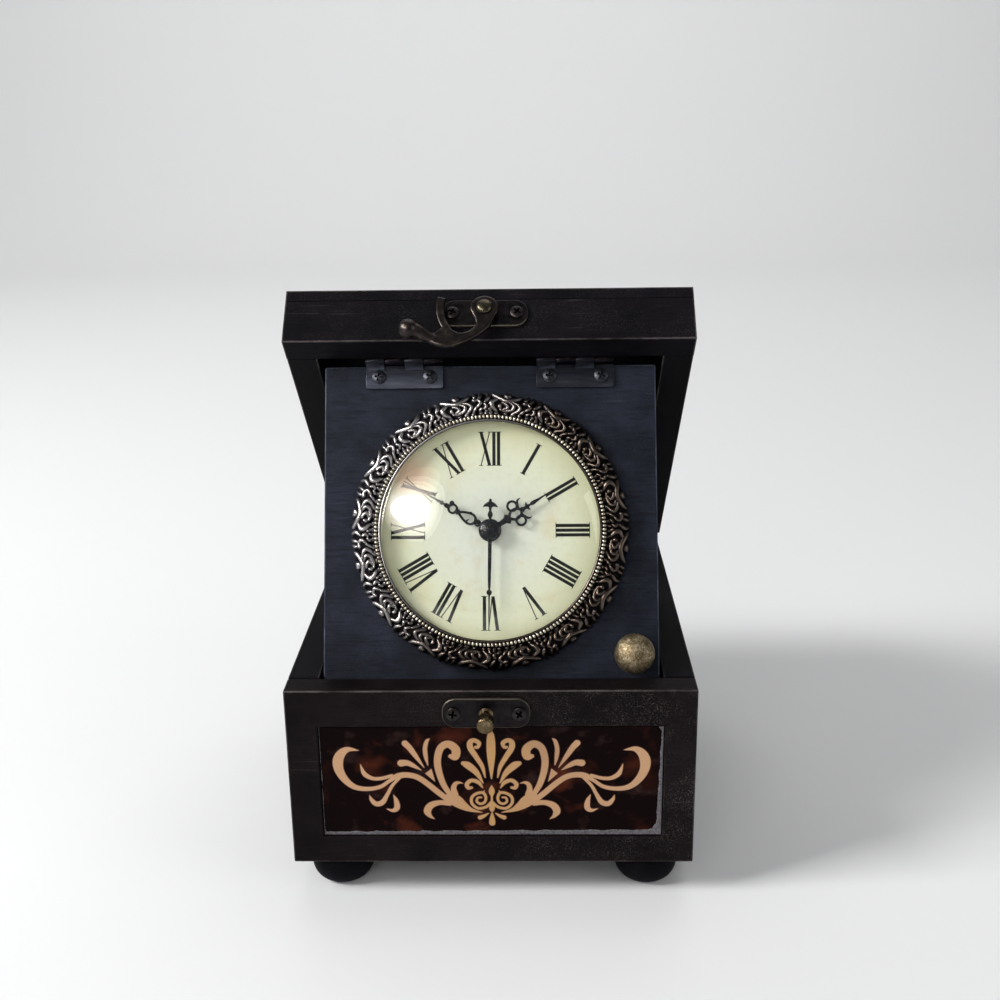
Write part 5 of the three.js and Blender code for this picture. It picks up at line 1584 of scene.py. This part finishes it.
def glare_lamps():
    """Lamps seen only in gloss: a warm window that mirrors in the domed glass at the left."""
    share = GLARE_RADIUS / GLASS_RADIUS
    slope = GLASS_RISE * DOME_POWER * share ** (DOME_POWER - 1) / GLASS_RADIUS
    forward = GLASS_BACK + GLASS_THICKNESS + dome_rise(GLARE_RADIUS)
    across, up = math.cos(GLARE_TURN), math.sin(GLARE_TURN)
    spot = CLOCK @ (Vector((GLARE_RADIUS * across, -forward, GLARE_RADIUS * up)) * MM)
    normal = CLOCK.to_3x3() @ Vector((slope * across, -1, slope * up)).normalized()
    view = (Vector(CAMERA_PLACE) - spot).normalized()
    window = spot + (2 * normal.dot(view) * normal - view) * GLARE_DISTANCE
    for name, above, width, height, strength, colour in GLARE_LAMPS:
        power = strength * math.pi / 4 * width * height
        lamp = add_lamp(name, window + Vector((0, 0, above)), spot, (width, height), power, colour)
        lamp.data.shape = "ELLIPSE"
        lamp.visible_diffuse = False


WORLD_COLOUR = (0.93, 0.96, 1, 1)
WORLD_STRENGTH = 0.17
OBJECT_MIDDLE = (0, 0, 0.11)

# The studio's lamps, as (name, place, target, size, power)
LAMPS = [
    ("key", (-1.43, -0.52, 1.12), OBJECT_MIDDLE, (0.62, 0.62), 35),
    ("front", (-0.2, -1.5, 0.85), OBJECT_MIDDLE, (1.1, 1.1), 6),
    ("fill", (1.3, -0.7, 0.6), OBJECT_MIDDLE, (0.9, 0.9), 4),
    ("top", (0.1, 0.5, 1.6), OBJECT_MIDDLE, (1.2, 0.8), 4),
    ("backdrop", (0, 1.2, 1.9), (0, 2.4, 0.5), (2.4, 0.6), 16),
]


def add_light():
    """Soft light all round. The front lamp shows neither in gloss nor through the glass."""
    world = bpy.data.worlds.new("studio")
    bpy.context.scene.world = world
    world.use_nodes = True
    background = world.node_tree.nodes["Background"]
    background.inputs["Color"].default_value = WORLD_COLOUR
    background.inputs["Strength"].default_value = WORLD_STRENGTH
    for lamp in LAMPS:
        made = add_lamp(*lamp)
        if lamp[0] == "front":
            made.visible_glossy = made.visible_transmission = False
    glare_lamps()


for make in (base_boards, lid_boards, panel_board, feet, tile, ornament, glue_line, bezel,
             bead_ring, glass, dial, numerals, hour_hand, minute_hand, second_hand, hook, rivet,
             latch_plates, catch_pin, hinges, screws, knob, inner_pieces, add_stage, add_light,
             add_camera):
    make()

view = bpy.context.scene.view_settings
view.view_transform = "Standard"
